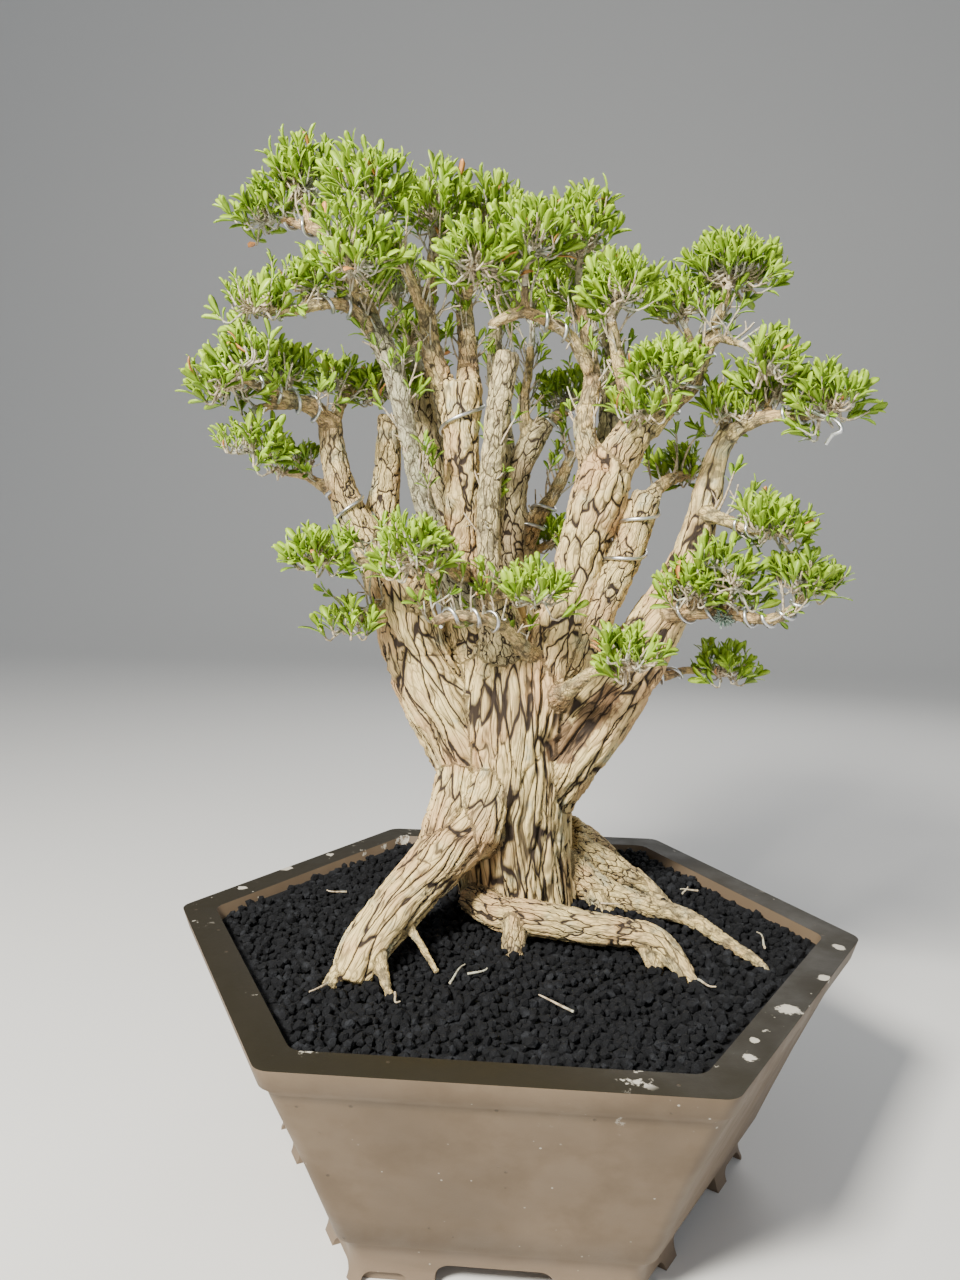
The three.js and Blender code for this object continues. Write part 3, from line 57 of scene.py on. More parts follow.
# Wood: every stretch is a route of [x, y, z, radius] points in millimetres
WOOD = {
    "trunk": [
      [4, 45, 126, 42], [2, 46, 155, 41], [-3, 44, 188, 42], [-5, 42, 225, 42.5], [-4, 40, 250, 43.5],
      [-4, 40, 275, 47], [-3, 40, 303, 48], [-5, 42, 327, 42], [-10, 45, 342, 32],
    ],
    "root_front_left": [
      [-9, 28, 239, 22], [-29, 5, 217, 20.5], [-52, -25, 195, 17], [-70, -50, 178, 15.5],
      [-84, -72, 163, 14], [-91, -84, 147, 11.5],
    ],
    "root_front_left_side": [
      [-46, -14, 203, 16], [-40, 8, 230, 16.5], [-35, 18, 256, 15], [-32, 24, 284, 12],
    ],
    "root_front_left_brow": [[-27, 0, 212, 19], [-18, 7, 238, 15], [-13, 10, 262, 12]],
    "root_front_right": [
      [-29, 14, 163, 9.5], [-7, -15, 165, 10.5], [13, -28, 169, 10.5], [44, -32, 166, 10],
      [72, -36, 165, 8.7], [89, -42, 164, 8], [100, -50, 157, 6.6], [111, -63, 144, 4.7],
    ],
    "root_right": [
      [35, 52, 173, 14], [63, 44, 160, 10.5], [93, 28, 158, 6.8], [118, 12, 157, 5.3],
      [137, -10, 152, 4.2], [153, -36, 150, 3.1], [160, -50, 144, 2.4],
    ],
    "root_back_right": [[35, 80, 190, 15], [62, 112, 170, 8.5], [83, 131, 148, 4.7]],
    "root_back_left": [[-35, 75, 188, 16], [-62, 115, 169, 9.5], [-88, 147, 143, 5]],
    "root_back": [[-2, 85, 186, 18], [0, 125, 172, 11], [3, 162, 147, 6]],
    "root_toe_left": [[-90, -74, 161, 6], [-98, -88, 152, 4.7], [-104, -97, 142, 3.5]],
    "root_toe_front": [[-77, -74, 164, 6], [-70, -88, 154, 3.5], [-61, -107, 145, 1.8]],
    "root_toe_right": [[-68, -50, 177, 4.3], [-54, -62, 165, 2.4], [-40, -74, 150, 1.8]],
    "root_prong_near": [[3, -30, 166, 7.5], [3, -40, 149, 6.8], [4, -44, 139, 5.6]],
    "root_prong_far": [[83, -41, 163, 5.5], [89, -50, 149, 4.8], [91, -57, 140, 3.6]],
    "root_right_upper": [[38, 65, 183, 14], [72, 70, 168, 10], [93, 68, 159, 5.8], [111, 57, 146, 3.6]],
    "root_right_knob": [[53, 46, 165, 9], [61, 36, 154, 7.6], [64, 22, 141, 4.8]],
    "left": [
      [-12, 40, 205, 18], [-20, 35, 232, 24], [-30, 30, 258, 27], [-44, 24, 287, 27], [-60, 18, 315, 24],
      [-70, 14, 338, 21], [-76, 12, 362, 19], [-84, 12, 381, 18], [-92, 12, 398, 16],
    ],
    "centre": [
      [-20, 30, 328, 26], [-30, 22, 362, 20], [-38, 16, 392, 14], [-38, 12, 418, 11], [-38, 10, 443, 10.7],
      [-39, 8, 469, 11], [-40, 8, 489, 13], [-41, 8, 504, 14],
    ],
    "right_mid": [
      [15, 32, 298, 24.5], [25, 22, 333, 22.5], [31, 14, 361, 17.5], [37, 8, 387, 15], [43, 4, 413, 15],
      [49, 2, 433, 16.5], [53, 0, 449, 16],
    ],
    "right": [
      [4, 42, 200, 16], [14, 39, 228, 24], [27, 34, 258, 28], [44, 28, 284, 27.5], [62, 22, 310, 24],
      [79, 16, 335, 19.5], [92, 12, 359, 16], [103, 8, 382, 13], [109, 6, 401, 11], [114, 4, 420, 9.5],
      [117, 4, 436, 9], [120, 3, 451, 7.5], [123, 2, 463, 6.8], [129, 0, 475, 6],
    ],
    "back_right": [
      [0, 42, 337, 19], [-1, 45, 372, 15], [-6, 48, 402, 12.4], [-8, 50, 426, 9.6], [-6, 54, 447, 8.9],
      [0, 58, 464, 8.3], [7, 60, 477, 7.9], [14, 62, 488, 6.2],
    ],
    "left_stub": [[-69, 4, 362, 10.4], [-61, 0, 372, 9], [-57, -2, 383, 7]],
    "left_a": [
      [-94, 10, 396, 13], [-106, 6, 414, 11], [-113, 4, 428, 9.7], [-117, 2, 442, 8.7],
      [-121, 2, 458, 8], [-123, 0, 481, 7],
    ],
    "left_b": [
      [-88, 18, 394, 12.6], [-94, 24, 414, 11.3], [-93, 28, 430, 10], [-91, 30, 451, 8.6],
      [-90, 32, 487, 7.5],
    ],
    "grey": [
      [-32, 10, 359, 10.5], [-46, 0, 389, 8.3], [-57, -4, 416, 7], [-65, -6, 441, 6], [-70, -8, 466, 5.6],
      [-80, -8, 507, 6.6], [-88, -6, 525, 6.9], [-96, -4, 540, 5.6],
    ],
    "back_left": [
      [-41, 50, 356, 14], [-49, 52, 391, 10.4], [-58, 52, 429, 9.7], [-64, 52, 458, 9],
      [-72, 50, 503, 8.2], [-75, 48, 518, 7.5],
    ],
    "snag": [
      [-9, 10, 334, 17], [-15, 2, 367, 11.6], [-19, -2, 393, 7.6], [-20, -4, 418, 7], [-19, -5, 443, 7],
      [-14, -7, 492, 7.5], [-9, -8, 521, 7],
    ],
    "right_mid_a": [
      [46, 0, 448, 9], [41, 0, 465, 7], [39, 0, 480, 6.5], [42, 3, 495, 5.6], [43, 7, 511, 5],
      [40, 10, 529, 4.4], [34, 10, 556, 2.8],
    ],
    "right_mid_b": [[57, 0, 451, 13], [66, -2, 467, 12], [74, -4, 479, 10]],
    "right_inner": [
      [41, 16, 324, 16], [51, 8, 357, 10.3], [61, 4, 381, 10], [70, 2, 404, 9.8], [80, 0, 436, 8.5],
    ],
    "far_left": [
      [-25, 62, 328, 21], [-39, 84, 361, 14.6], [-46, 96, 405, 11], [-55, 104, 449, 9],
      [-81, 110, 534, 6], [-93, 110, 563, 4.4],
    ],
    "far_mid": [
      [-5, 75, 334, 20], [-8, 100, 384, 13.4], [-14, 116, 436, 10.6], [-26, 124, 536, 6],
      [-25, 124, 569, 4.5],
    ],
    "far_right": [
      [28, 62, 329, 20], [41, 86, 370, 14], [52, 98, 414, 11], [58, 106, 458, 9],
      [60, 112, 538, 6], [55, 112, 559, 4.4],
    ],
    "centre_left_arm": [[-46, 8, 494, 8.3], [-55, 6, 512, 7], [-59, 4, 527, 6], [-61, 2, 545, 5.3]],
    "centre_right_arm": [
      [-35, 14, 498, 8.4], [-37, 21, 524, 6.1], [-41, 31, 564, 5.2], [-41, 38, 582, 3.9],
    ],
    "back_right_fork": [
      [-2, 46, 400, 9], [9, 52, 420, 6.2], [18, 56, 433, 4.8], [26, 60, 449, 4.1], [33, 62, 467, 3.5],
    ],
    "back_right_arm": [[10, 61, 483, 5.5], [22, 64, 491, 4.1], [33, 68, 500, 3.5]],
    "back_right_thin": [[1, 58, 468, 4.1], [-1, 56, 498, 3.4], [1, 55, 517, 3.1], [3, 54, 537, 2.7]],
    "right_mid_c": [[69, -4, 474, 6.8], [65, -11, 494, 5.2], [59, -17, 511, 4.3], [52, -24, 536, 3.1]],
    "right_mid_d": [
      [78, -4, 474, 6.8], [91, -5, 489, 5.2], [104, -4, 501, 4.6], [110, -2, 517, 4.2],
      [116, 1, 533, 3.6], [124, 4, 561, 2.7],
    ],
    "right_inner_arm": [[79, 0, 431, 5], [89, 7, 442, 4.1], [99, 15, 447, 3.8], [110, 26, 450, 3.1]],
    "right_arm": [
      [127, 0, 471, 5.6], [136, -7, 478, 4.9], [145, -14, 481, 4], [155, -20, 482, 3.4],
      [165, -27, 481, 2.7], [172, -32, 480, 2.4],
    ],
    "right_low": [
      [93, 2, 362, 6.4], [109, -12, 363, 5], [126, -19, 364, 3.7], [141, -27, 361, 3.4],
      [154, -35, 362, 3.1], [164, -40, 369, 2.8], [168, -46, 378, 2.5],
    ],
    "right_side": [[113, 1, 425, 5], [127, -17, 419, 3.7], [137, -29, 414, 3.1], [144, -40, 414, 2.7]],
    "right_bottom": [[80, 14, 324, 5.2], [96, 20, 318, 3.3], [109, 28, 321, 2.6], [121, 36, 320, 2.3]],
    "front_cross_low": [
      [8, 2, 332, 5.8], [-3, -21, 347, 4.1], [-14, -34, 356, 3.7], [-26, -43, 359, 3.4],
      [-39, -48, 360, 3], [-49, -49, 356, 2.8],
    ],
    "front_cross_high": [
      [-35, 0, 383, 5.1], [-44, -20, 388, 3.8], [-57, -30, 391, 3.4], [-71, -36, 391, 3.1],
      [-85, -38, 390, 2.8], [-98, -38, 391, 2.5],
    ],
    "front_mid": [[-18, -4, 372, 5.1], [-7, -30, 373, 3.7], [5, -44, 372, 3.4], [13, -54, 370, 2.7]],
    "left_twig": [[-118, 4, 431, 5.2], [-133, 6, 441, 3.2], [-145, 12, 446, 2.9], [-159, 20, 448, 2.5]],
    "left_fan": [
      [-121, 0, 476, 5.7], [-131, -12, 486, 5.1], [-142, -25, 489, 4.4], [-154, -38, 495, 3.4],
      [-165, -48, 498, 2.8],
    ],
    "left_fan_up": [[-123, 2, 475, 5.1], [-119, 17, 494, 3.9], [-115, 31, 504, 3.2]],
    "left_fan_low": [[-137, -19, 487, 3.8], [-149, -30, 485, 2.8], [-159, -38, 481, 2.5]],
    "high_left": [
      [-92, -5, 533, 5], [-106, -16, 545, 3.7], [-116, -25, 546, 3.4], [-129, -35, 541, 3.1],
      [-140, -42, 537, 2.8], [-149, -48, 538, 2.5],
    ],
    "top_left": [
      [-92, -5, 532, 5.6], [-100, 3, 553, 4.4], [-112, 10, 575, 4.1], [-127, 17, 596, 3.8],
      [-144, 22, 606, 3.1], [-162, 27, 612, 2.5],
    ],
    "top_left_front": [[-99, 2, 550, 3.8], [-103, -20, 555, 3.1], [-102, -38, 558, 2.8]],
    "top_mid_left": [[-61, 2, 540, 4.4], [-68, -11, 559, 3.4], [-74, -23, 572, 3.1], [-77, -32, 581, 2.5]],
    "top_mid": [[-61, 2, 540, 4.4], [-59, 6, 567, 3.5], [-60, 10, 586, 2.8]],
    "arch": [
      [41, 2, 512, 4.4], [30, -6, 529, 3.7], [16, -14, 537, 3.7], [1, -20, 542, 3.6],
      [-12, -24, 537, 3.3], [-20, -27, 532, 2.7],
    ],
    "low_right_front": [[26, 6, 303, 7.8], [37, -23, 317, 4.4], [49, -39, 328, 3.7], [61, -50, 330, 3.1]],
    "left_fan_twig": [[-142, -25, 488, 3], [-149, -13, 497, 2.4], [-155, -1, 506, 2]],
    "high_left_twig": [[-129, -35, 541, 2.7], [-128, -32, 547, 2.2], [-126, -29, 552, 2]],
    "top_left_twig": [[-140, 20, 603, 2.8], [-144, 23, 616, 2.5], [-147, 25, 626, 2.2]],
    "centre_front_twig": [[-41, 30, 561, 3.9], [-35, -1, 559, 2.8], [-31, -28, 559, 2.5]],
    "arch_twig": [[1, -20, 542, 3], [1, -22, 550, 2.6], [1, -25, 557, 2.4]],
    "right_mid_a_twig": [[41, 7, 521, 3.3], [37, 30, 542, 2.6], [34, 48, 558, 2.5]],
    "right_mid_d_twig": [[91, -5, 489, 3.7], [86, -20, 494, 2.6], [83, -33, 499, 2.4]],
    "right_sprig_twig": [[110, -2, 516, 3], [104, -1, 526, 2.4], [99, 0, 537, 2.1]],
    "right_tuft_twig": [[115, 1, 532, 2.8], [123, -12, 527, 2.3], [129, -26, 522, 2]],
    "right_arm_twig": [[148, -16, 481, 3.1], [150, -6, 489, 2.4], [152, 4, 495, 2.1]],
    "right_mid_b_twig": [[74, -3, 477, 4.6], [74, -18, 482, 2.8], [73, -29, 486, 2.4]],
    "right_top_twig": [[127, 0, 470, 4.6], [125, 2, 479, 2.8], [124, 5, 485, 2.5]],
    "right_low_tuft_twig": [[110, -12, 362, 3.4], [110, -18, 370, 2.5], [109, -22, 375, 2.2]],
    "right_low_mass_twig": [[127, -19, 363, 3.1], [128, -26, 372, 2.5], [128, -32, 377, 2.2]],
    "left_base_twig": [[-78, 12, 365, 5.3], [-90, -5, 361, 2.9], [-94, -16, 360, 2.5]],
    "front_left_twig": [[-57, -30, 391, 2.8], [-57, -39, 395, 2.3], [-57, -47, 399, 2]],
    "back_low_twig": [[-1, 45, 389, 5.5], [9, 56, 398, 3.5], [17, 60, 403, 2.8]],
}

# Wood that is paler or greyer than the rest, from 0 to 1
GREY_WOOD = {
    "grey": 1.0, "snag": 0.45, "back_right": 0.5, "back_left": 0.5, "far_left": 0.6, "far_mid": 0.6,
    "far_right": 0.6,
}
# Step of the smooth lines, what the wood is thicker than its route for the cracks, and where it is split
LINE_STEP = 4.0
WOOD_SWELLING = 0.35
SPLIT_HEIGHT = 330.0
# Low down the plates of bark are longer: how much longer, and between what heights they change
LOW_STRETCH = 1.1
LOW_PLATES = (255.0, 340.0)
FLANKS = ("left", "right", "right_mid", "centre")
# Rotten hollow in the right flank: its two ends and its radius
HOLLOW_ENDS = ((31.0, 3.0, 268.0), (58.0, 1.0, 305.0))
HOLLOW_RADIUS = 12.5
HOLLOW_EDGE = 1.25
# Tuft of lichen on the low right branch: its middle, its radius and the strands that fork in it
TUFT_PLACE = (127.0, -19.0, 361.0)
TUFT_RADIUS = 8.5
TUFT_STRANDS = 110
TUFT_SIDES = 4
TUFT_RADII = (0.55, 0.35)
TUFT_FORK_LENGTH = 3.5
TUFT_FORK_RADII = (0.45, 0.3)
TUFT_SEED = 77
# Sides of a tube by its greatest radius, and the radius at which plates have their full size
SIDES_OF_GIRTH = ((15.0, 22), (6.0, 14), (0.0, 9))
PLATE_GIRTH = 18.0
LEAST_PLATE = 0.4
# How much longer than usual the plates are
LONG_PLATES = {
    "trunk": 2.6, "root_front_left": 1.8, "root_front_left_side": 2.2, "root_front_left_brow": 2.2,
    "root_front_right": 1.6, "left": 1.4, "right": 1.4,
}
# How far each limb's bark lies from the last one's in the pattern, and how gently limbs blend
PATTERN_SHIFT = (37.0, 53.0, 71.0)
LIMB_BLEND = 6.0
POINTS_AT_ONCE = 4096

# Leaf: (share of the length, share of the width, lift) at each of its stations, its fold and its thickness
LEAF_STATIONS = [
    (0.0, 0.14, 0.0), (0.24, 0.46, 0.03), (0.58, 0.95, 0.04), (0.86, 0.88, -0.01), (1.0, 0.3, -0.05),
]
LEAF_FOLD = 0.3
LEAF_THICKNESS = 0.022

# Shoots: distance between pairs of leaves, degrees that the lowest open and lose up to the top, radii at
# both ends, room left under the solid's top, the share of dead leaves, and what the first pair is set by
PAIR_GAP = 3.3
LOWEST_OPENING = 50.0
CLOSING = 36.0
SHOOT_RADII = (0.75, 0.45)
SHOOT_TOP = 0.8
DEAD_LEAVES = 0.008
DEAD_TINT = -1.0
SHOOT_GUIDE = (0.31, 0.83, 0.47)

# Sprays: the twig's end under each shoot's middle, the stem's end under all of them, how far and at what
# turn from each other the fine shoots stand, the longest middle shoot, and the bare spurs among them
KNEE_DROP = 5.0
STEM_DROP = 9.0
STEM_STEPS = 8
SATELLITE_REACH = 15.5
SATELLITE_TURN = 2.4
SATELLITE_LENGTHS = (8, 13)
SATELLITE_RADII = (0.85, 0.6)
LEADER_LENGTH = 15.0
BARE_SPURS = 6
SPUR_LENGTHS = (5.0, 13.0)
SPUR_RADII = (0.65, 0.4)
TWIG_SIDES = 5
SPRAY_GUIDE = (0.2, 0.9, 0.3)
SPRAY_SEED = 100

# Brush: the fine twigs along branches thinner than this, their forks, and the share that bears leaves
BRUSH_GIRTH = 7.2
BRUSH_LENGTHS = (7.0, 23.0)
BRUSH_RADII = (0.85, 0.5)
FORK_LENGTHS = (4.0, 11.0)
FORK_RADII = (0.6, 0.4)
BRUSH_IN_LEAF = 0.5
BRUSH_SHOOTS = (4, 9)
FORK_SHOOTS = (3, 6)
BRUSH_SEED = 50

# Wire: step of its line, its middle's distance from the bark in radii, and how much of a branch stays free
# at its ends
WIRE_STEP = 1.0
WIRE_REACH = 1.1
BRANCH_ENDS = 0.5
# The free end of the wire on the right arm: steps forward along the branch, in Y and in Z
HOOKED_LIMB = "right_arm"
WIRE_HOOK = [[7, -2, -3], [14, -5, -6], [17, -6, -11], [12, -6, -14], [9, -4, -19]]
# Wire wound along more branches: [where it starts, where it ends, length of a turn, first direction]
LONG_WIRES = {
    "top_left": [88, 112, 15, 0.5], "high_left": [50, 73, 14, 2.0], "left_fan": [6, 38, 15, 1.0],
    "centre": [148, 178, 30, 2.6], "right_inner": [62, 116, 26, 0.8], "right_mid_d": [8, 82, 20, 2.2],
    "left_a": [22, 48, 15, 0.0], "back_right_fork": [8, 40, 16, 1.5], "right_low": [8, 42, 16, 0.4],
    "right_bottom": [10, 36, 14, 1.2], "back_right_arm": [4, 26, 14, 2.0],
}

# Pot: (radius to a corner, height) in millimetres
CORNER_ROUNDING = 11.0
CORNER_STEPS = 6
POT_OUTSIDE = [
    (158, 0), (156.2, 4), (155, 9), (156, 16), (160, 26), (166, 30), (175, 51), (188, 80), (201, 107),
    (213, 132), (215, 137), (221, 142), (225, 154),
]
POT_INSIDE = [(146, 42), (168, 84), (195, 136), (202, 155)]
FOOT_RECESS = [(138, -1), (138, 14)]
FOOT_ARCH = {"width": 65, "height": 14, "rounding": 8, "offset": 0, "start": 112}
FOOT_SCALLOP = {"width": 26, "height": 7, "rounding": 6, "offset": 60, "start": 131}
FOOT_CUT_DEPTH = 40
DRAIN_HOLE_RADIUS = 12
DRAIN_HOLE_DISTANCE = 75
DRAIN_HOLE_ENDS = (-5, 60)
DRAIN_HOLE_SIDES = 32
EDGE_SEGMENTS = 3
EDGE_ANGLE = 38
SHARP_ANGLE = 35
# Lime marks on the rim: (x, y, width) in millimetres
LIP_TOP = 154.0
LIME_SPOTS = [
    (155, -103, 8), (171, -100, 5), (124, -156, 6), (207, -16, 5), (131, -139, 4), (185, -62, 5),
    (-196, 38, 5), (-176, 82, 6), (-150, 118, 5),
]

# Soil: its level, its mound at the trunk, its corners, the pitch of its sheet, and up to what height and
# how far round them roots keep it open
SOIL_LEVEL = 150.0
SOIL_MOUND = 8.0
SOIL_MOUND_RADIUS = 85.0
SOIL_CORNER = 196.0
TRUNK_SPOT = (0.0, 45.0)
SHEET_PITCH = 4.5
ROOT_TOP = 190.0
ROOT_ROOM = 1.5
# Gravel: its forms, how far they are from round, their share of the grain size and how high they lie
GRAIN_FORMS = 4
GRAIN_STRETCH = (0.78, 1.15)
GRAIN_DENTS = (0.78, 1.16)
GRAIN_SIZES = (0.66, 1.36)
GRAIN_SINK = 3.5
GRAIN_RISE = 0.4
GRAIN_DENSITY = 200000.0
GRAIN_SEED = 31
ROOTLET_LIFTS = (2.5, 3.5)
ROOTLET_RADII = (0.8, 0.4)
ROOTLET_SIDES = 6
ROOTLET_SEED = 11
# Pale rootlets on the gravel: (x, y, direction in degrees, length)
ROOTLETS = [
    (-31, -92, 70, 20), (-22, -80, 20, 12), (39, -119, 150, 22), (132, 74, 200, 14), (120, 66, 60, 10),
    (160, -22, 95, 18), (-100, -100, 250, 18), (-60, -108, 290, 16), (112, -70, 300, 16), (60, 30, 330, 14),
    (-45, 96, 120, 20), (20, 130, 60, 18), (-120, 40, 200, 14),
]

# Camera: where it stands, how it is turned and its lens, found from the pot's rim
CAMERA_PLACE = (24.6, -617.3, 404.6)
CAMERA_YAW = -0.07903
CAMERA_PITCH = 0.10238
CAMERA_ROLL = 0.0168
CAMERA_LENS = 27.13
CAMERA_NEAR = 0.01

# Stage, in metres: the floor bends up into a wall behind the tree
FLOOR_HALF = 9.0
FLOOR_BEND_START = 2.5
FLOOR_BEND = 2.0
FLOOR_BEND_STEPS = 16
SKY_STRENGTH = 0.36
# Lamps: (name, place, what it looks at, size, power, colour)
LAMPS = [
    ("key", (-0.65, -1.15, 1.3), (0, 0, 0.35), 0.32, 88.0, (1.0, 0.96, 0.87)),
    ("fill", (1.5, -0.9, 0.8), (0, 0, 0.3), 1.2, 5.0, (0.93, 0.96, 1.0)),
    ("back", (0.5, 1.5, 1.3), (0, 0, 0.4), 1.0, 12.0, (1.0, 0.98, 0.95)),
]


# Second colours of the materials

LEAF_RIB = (0.42, 0.56, 0.12, 1.0)
LEAF_SPOTS = (0.4, 0.46, 0.04, 1.0)
TWIG_GREY = (0.46, 0.46, 0.36, 1.0)
TWIG_PITS = (0.15, 0.11, 0.065, 1.0)
LICHEN_TIPS = (0.42, 0.5, 0.42, 1.0)
DULL_WIRE = (0.5, 0.51, 0.53, 1.0)
BRIGHT_WIRE = (0.82, 0.83, 0.85, 1.0)
PALE_CLAY = (0.155, 0.113, 0.074, 1.0)
DARK_CLAY = (0.095, 0.067, 0.042, 1.0)
FOOT_CLAY = (0.25, 0.19, 0.14, 1.0)
CLAY_PITS = (0.06, 0.045, 0.03, 1.0)
LAVA_DUST = (0.024, 0.026, 0.031, 1.0)
LAVA_PORES = (0.055, 0.055, 0.055, 1.0)
SCREEN_DARK = (0.02, 0.022, 0.02, 1.0)
SCREEN_PALE = (0.05, 0.055, 0.05, 1.0)
FLOOR_COLOUR = (0.72, 0.72, 0.71, 1.0)
SKY_COLOUR = (0.86, 0.9, 0.96, 1.0)


# Sizes and colours that a user may change


class WoodSettings(bpy.types.PropertyGroup):
    """Bark and wood"""

    mesh_size: bpy.props.FloatProperty(
        name="Mesh Size", description="Edge length of the wood's mesh",
        default=0.0019, min=0.001, subtype="DISTANCE", unit="LENGTH")
    crack_depth: bpy.props.FloatProperty(
        name="Crack Depth", description="Depth of the bark's cracks on the trunk",
        default=0.0026, min=0, subtype="DISTANCE", unit="LENGTH")
    plate_width: bpy.props.FloatProperty(
        name="Plate Width", description="Width of a plate of bark on a thick limb",
        default=0.009, min=0.002, subtype="DISTANCE", unit="LENGTH")
    plate_length: bpy.props.FloatProperty(
        name="Plate Length", description="Length of a plate of bark on a thick limb",
        default=0.033, min=0.002, subtype="DISTANCE", unit="LENGTH")
    cream: bpy.props.FloatVectorProperty(
        name="Cream", description="Palest colour of the bark",
        default=(0.92, 0.72, 0.32), size=3, min=0, max=1, subtype="COLOR")
    tan: bpy.props.FloatVectorProperty(
        name="Tan", description="Warm colour of the bark",
        default=(0.7, 0.44, 0.21), size=3, min=0, max=1, subtype="COLOR")
    # Painted shade: the near-black colour that darkens the bark's cracks and furrows
    crack_shade_colour: bpy.props.FloatVectorProperty(
        name="Cracks", description="Colour deep in the bark's cracks",
        default=(0.025, 0.014, 0.007), size=3, min=0, max=1, subtype="COLOR")
    lichen: bpy.props.FloatVectorProperty(
        name="Lichen", description="Grey-green film on old bark",
        default=(0.46, 0.49, 0.35), size=3, min=0, max=1, subtype="COLOR")
    tuft: bpy.props.FloatVectorProperty(
        name="Lichen Tuft", description="Colour of the tuft of lichen",
        default=(0.23, 0.33, 0.28), size=3, min=0, max=1, subtype="COLOR")
    thin_bark: bpy.props.FloatVectorProperty(
        name="Thin Bark", description="Colour of the dark patches on thin branches",
        default=(0.17, 0.145, 0.09), size=3, min=0, max=1, subtype="COLOR")
    rotten: bpy.props.FloatVectorProperty(
        name="Rotten Wood", description="Colour of the crumbly wood in the hollow",
        default=(0.2, 0.11, 0.052), size=3, min=0, max=1, subtype="COLOR")


class LeafSettings(bpy.types.PropertyGroup):
    """Leaves and the twigs that bear them"""

    length: bpy.props.FloatProperty(
        name="Leaf Length", description="Length of a full-grown leaf",
        default=0.0148, min=0.005, subtype="DISTANCE", unit="LENGTH")
    width: bpy.props.FloatProperty(
        name="Leaf Width", description="Width of a full-grown leaf",
        default=0.005, min=0.001, subtype="DISTANCE", unit="LENGTH")
    shoots: bpy.props.IntProperty(
        name="Shoots", description="Fine shoots round each shoot of the solid", default=12, min=1, max=16)
    missing: bpy.props.FloatProperty(
        name="Missing Leaves", description="Share of leaves that have dropped", default=0.1,
        min=0, max=1, subtype="FACTOR")
    # Lightest leaves: young growth, and painted light on the high, upturned shoots
    young: bpy.props.FloatVectorProperty(
        name="Young Leaf", description="Colour of the top leaves",
        default=(0.33, 0.5, 0.03), size=3, min=0, max=1, subtype="COLOR")
    old: bpy.props.FloatVectorProperty(
        # Darkest leaves: older growth, and painted shade on the low and inner shoots
        name="Old Leaf", description="Colour of the inner leaves",
        default=(0.055, 0.17, 0.012), size=3, min=0, max=1, subtype="COLOR")
    dead: bpy.props.FloatVectorProperty(
        name="Dead Leaf", description="Colour of the few dead leaves",
        default=(0.62, 0.27, 0.08), size=3, min=0, max=1, subtype="COLOR")
    twig: bpy.props.FloatVectorProperty(
        name="Twig", description="Colour of fine twigs",
        default=(0.58, 0.47, 0.32), size=3, min=0, max=1, subtype="COLOR")


class PotSettings(bpy.types.PropertyGroup):
    """Clay pot"""

    edge: bpy.props.FloatProperty(
        name="Edge Rounding", description="Width of the rounding on the pot's edges",
        default=0.0016, min=0, subtype="DISTANCE", unit="LENGTH")
    clay: bpy.props.FloatVectorProperty(
        name="Clay", description="Colour of the pot's body",
        default=(0.108, 0.077, 0.049), size=3, min=0, max=1, subtype="COLOR")
    # Painted shade: the dark colour given to the rim's upward-facing top
    rim: bpy.props.FloatVectorProperty(
        name="Rim", description="Colour of the rim's top, darkened by water and soil",
        default=(0.015, 0.012, 0.006), size=3, min=0, max=1, subtype="COLOR")
    lime: bpy.props.FloatVectorProperty(
        name="Lime", description="Colour of the lime marks",
        default=(0.46, 0.43, 0.37), size=3, min=0, max=1, subtype="COLOR")


class GravelSettings(bpy.types.PropertyGroup):
    """Black lava gravel"""

    grain: bpy.props.FloatProperty(
        name="Grain Size", description="Width of a middling grain",
        default=0.0062, min=0.002, subtype="DISTANCE", unit="LENGTH")
    spacing: bpy.props.FloatProperty(
        name="Spacing", description="Least distance between two grains' middles",
        default=0.0043, min=0.002, subtype="DISTANCE", unit="LENGTH")
    colour: bpy.props.FloatVectorProperty(
        name="Lava", description="Colour of the gravel",
        default=(0.006, 0.0065, 0.008), size=3, min=0, max=1, subtype="COLOR")


class WireSettings(bpy.types.PropertyGroup):
    """Aluminium training wire"""

    radius: bpy.props.FloatProperty(
        name="Wire Radius", description="Half the thickness of the wire",
        default=0.0012, min=0.0005, subtype="DISTANCE", unit="LENGTH")
    sides: bpy.props.IntProperty(
        name="Wire Sides", description="Faces round the wire", default=8, min=3, max=24)


SETTINGS = {
    "bonsai_wood": WoodSettings,
    "bonsai_leaves": LeafSettings,
    "bonsai_pot": PotSettings,
    "bonsai_gravel": GravelSettings,
    "bonsai_wire": WireSettings,
}


# Node trees


def feed(tree, socket, value):
    """Links a socket's value in, or sets it."""
    if isinstance(value, bpy.types.NodeSocket):
        tree.links.new(value, socket)
    else:
        socket.default_value = value


def add_node(tree, kind, inputs=None, **settings):
    """Adds a node with its settings and the inputs named or numbered."""
    node = tree.nodes.new(kind)
    for name, value in settings.items():
        setattr(node, name, value)
    for key, value in (inputs or {}).items():
        feed(tree, node.inputs[key], value)
    return node


def calc(tree, operation, *values, clamp=False):
    """A sum on numbers."""
    inputs = dict(enumerate(values))
    return add_node(tree, "ShaderNodeMath", inputs, operation=operation, use_clamp=clamp).outputs[0]


def calc_vector(tree, operation, *values):
    """A sum on vectors; a scale is the fourth input."""
    inputs = dict(enumerate(values))
    if operation == "SCALE":
        inputs = {0: values[0], 3: values[1]}
    return add_node(tree, "ShaderNodeVectorMath", inputs, operation=operation).outputs[0]


def ramp(tree, value, low, high, to_low=0.0, to_high=1.0):
    """A smooth step from to_low at low to to_high at high."""
    inputs = {0: value, 1: low, 2: high, 3: to_low, 4: to_high}
    node = add_node(tree, "ShaderNodeMapRange", inputs, interpolation_type="SMOOTHSTEP", clamp=True)
    return node.outputs[0]


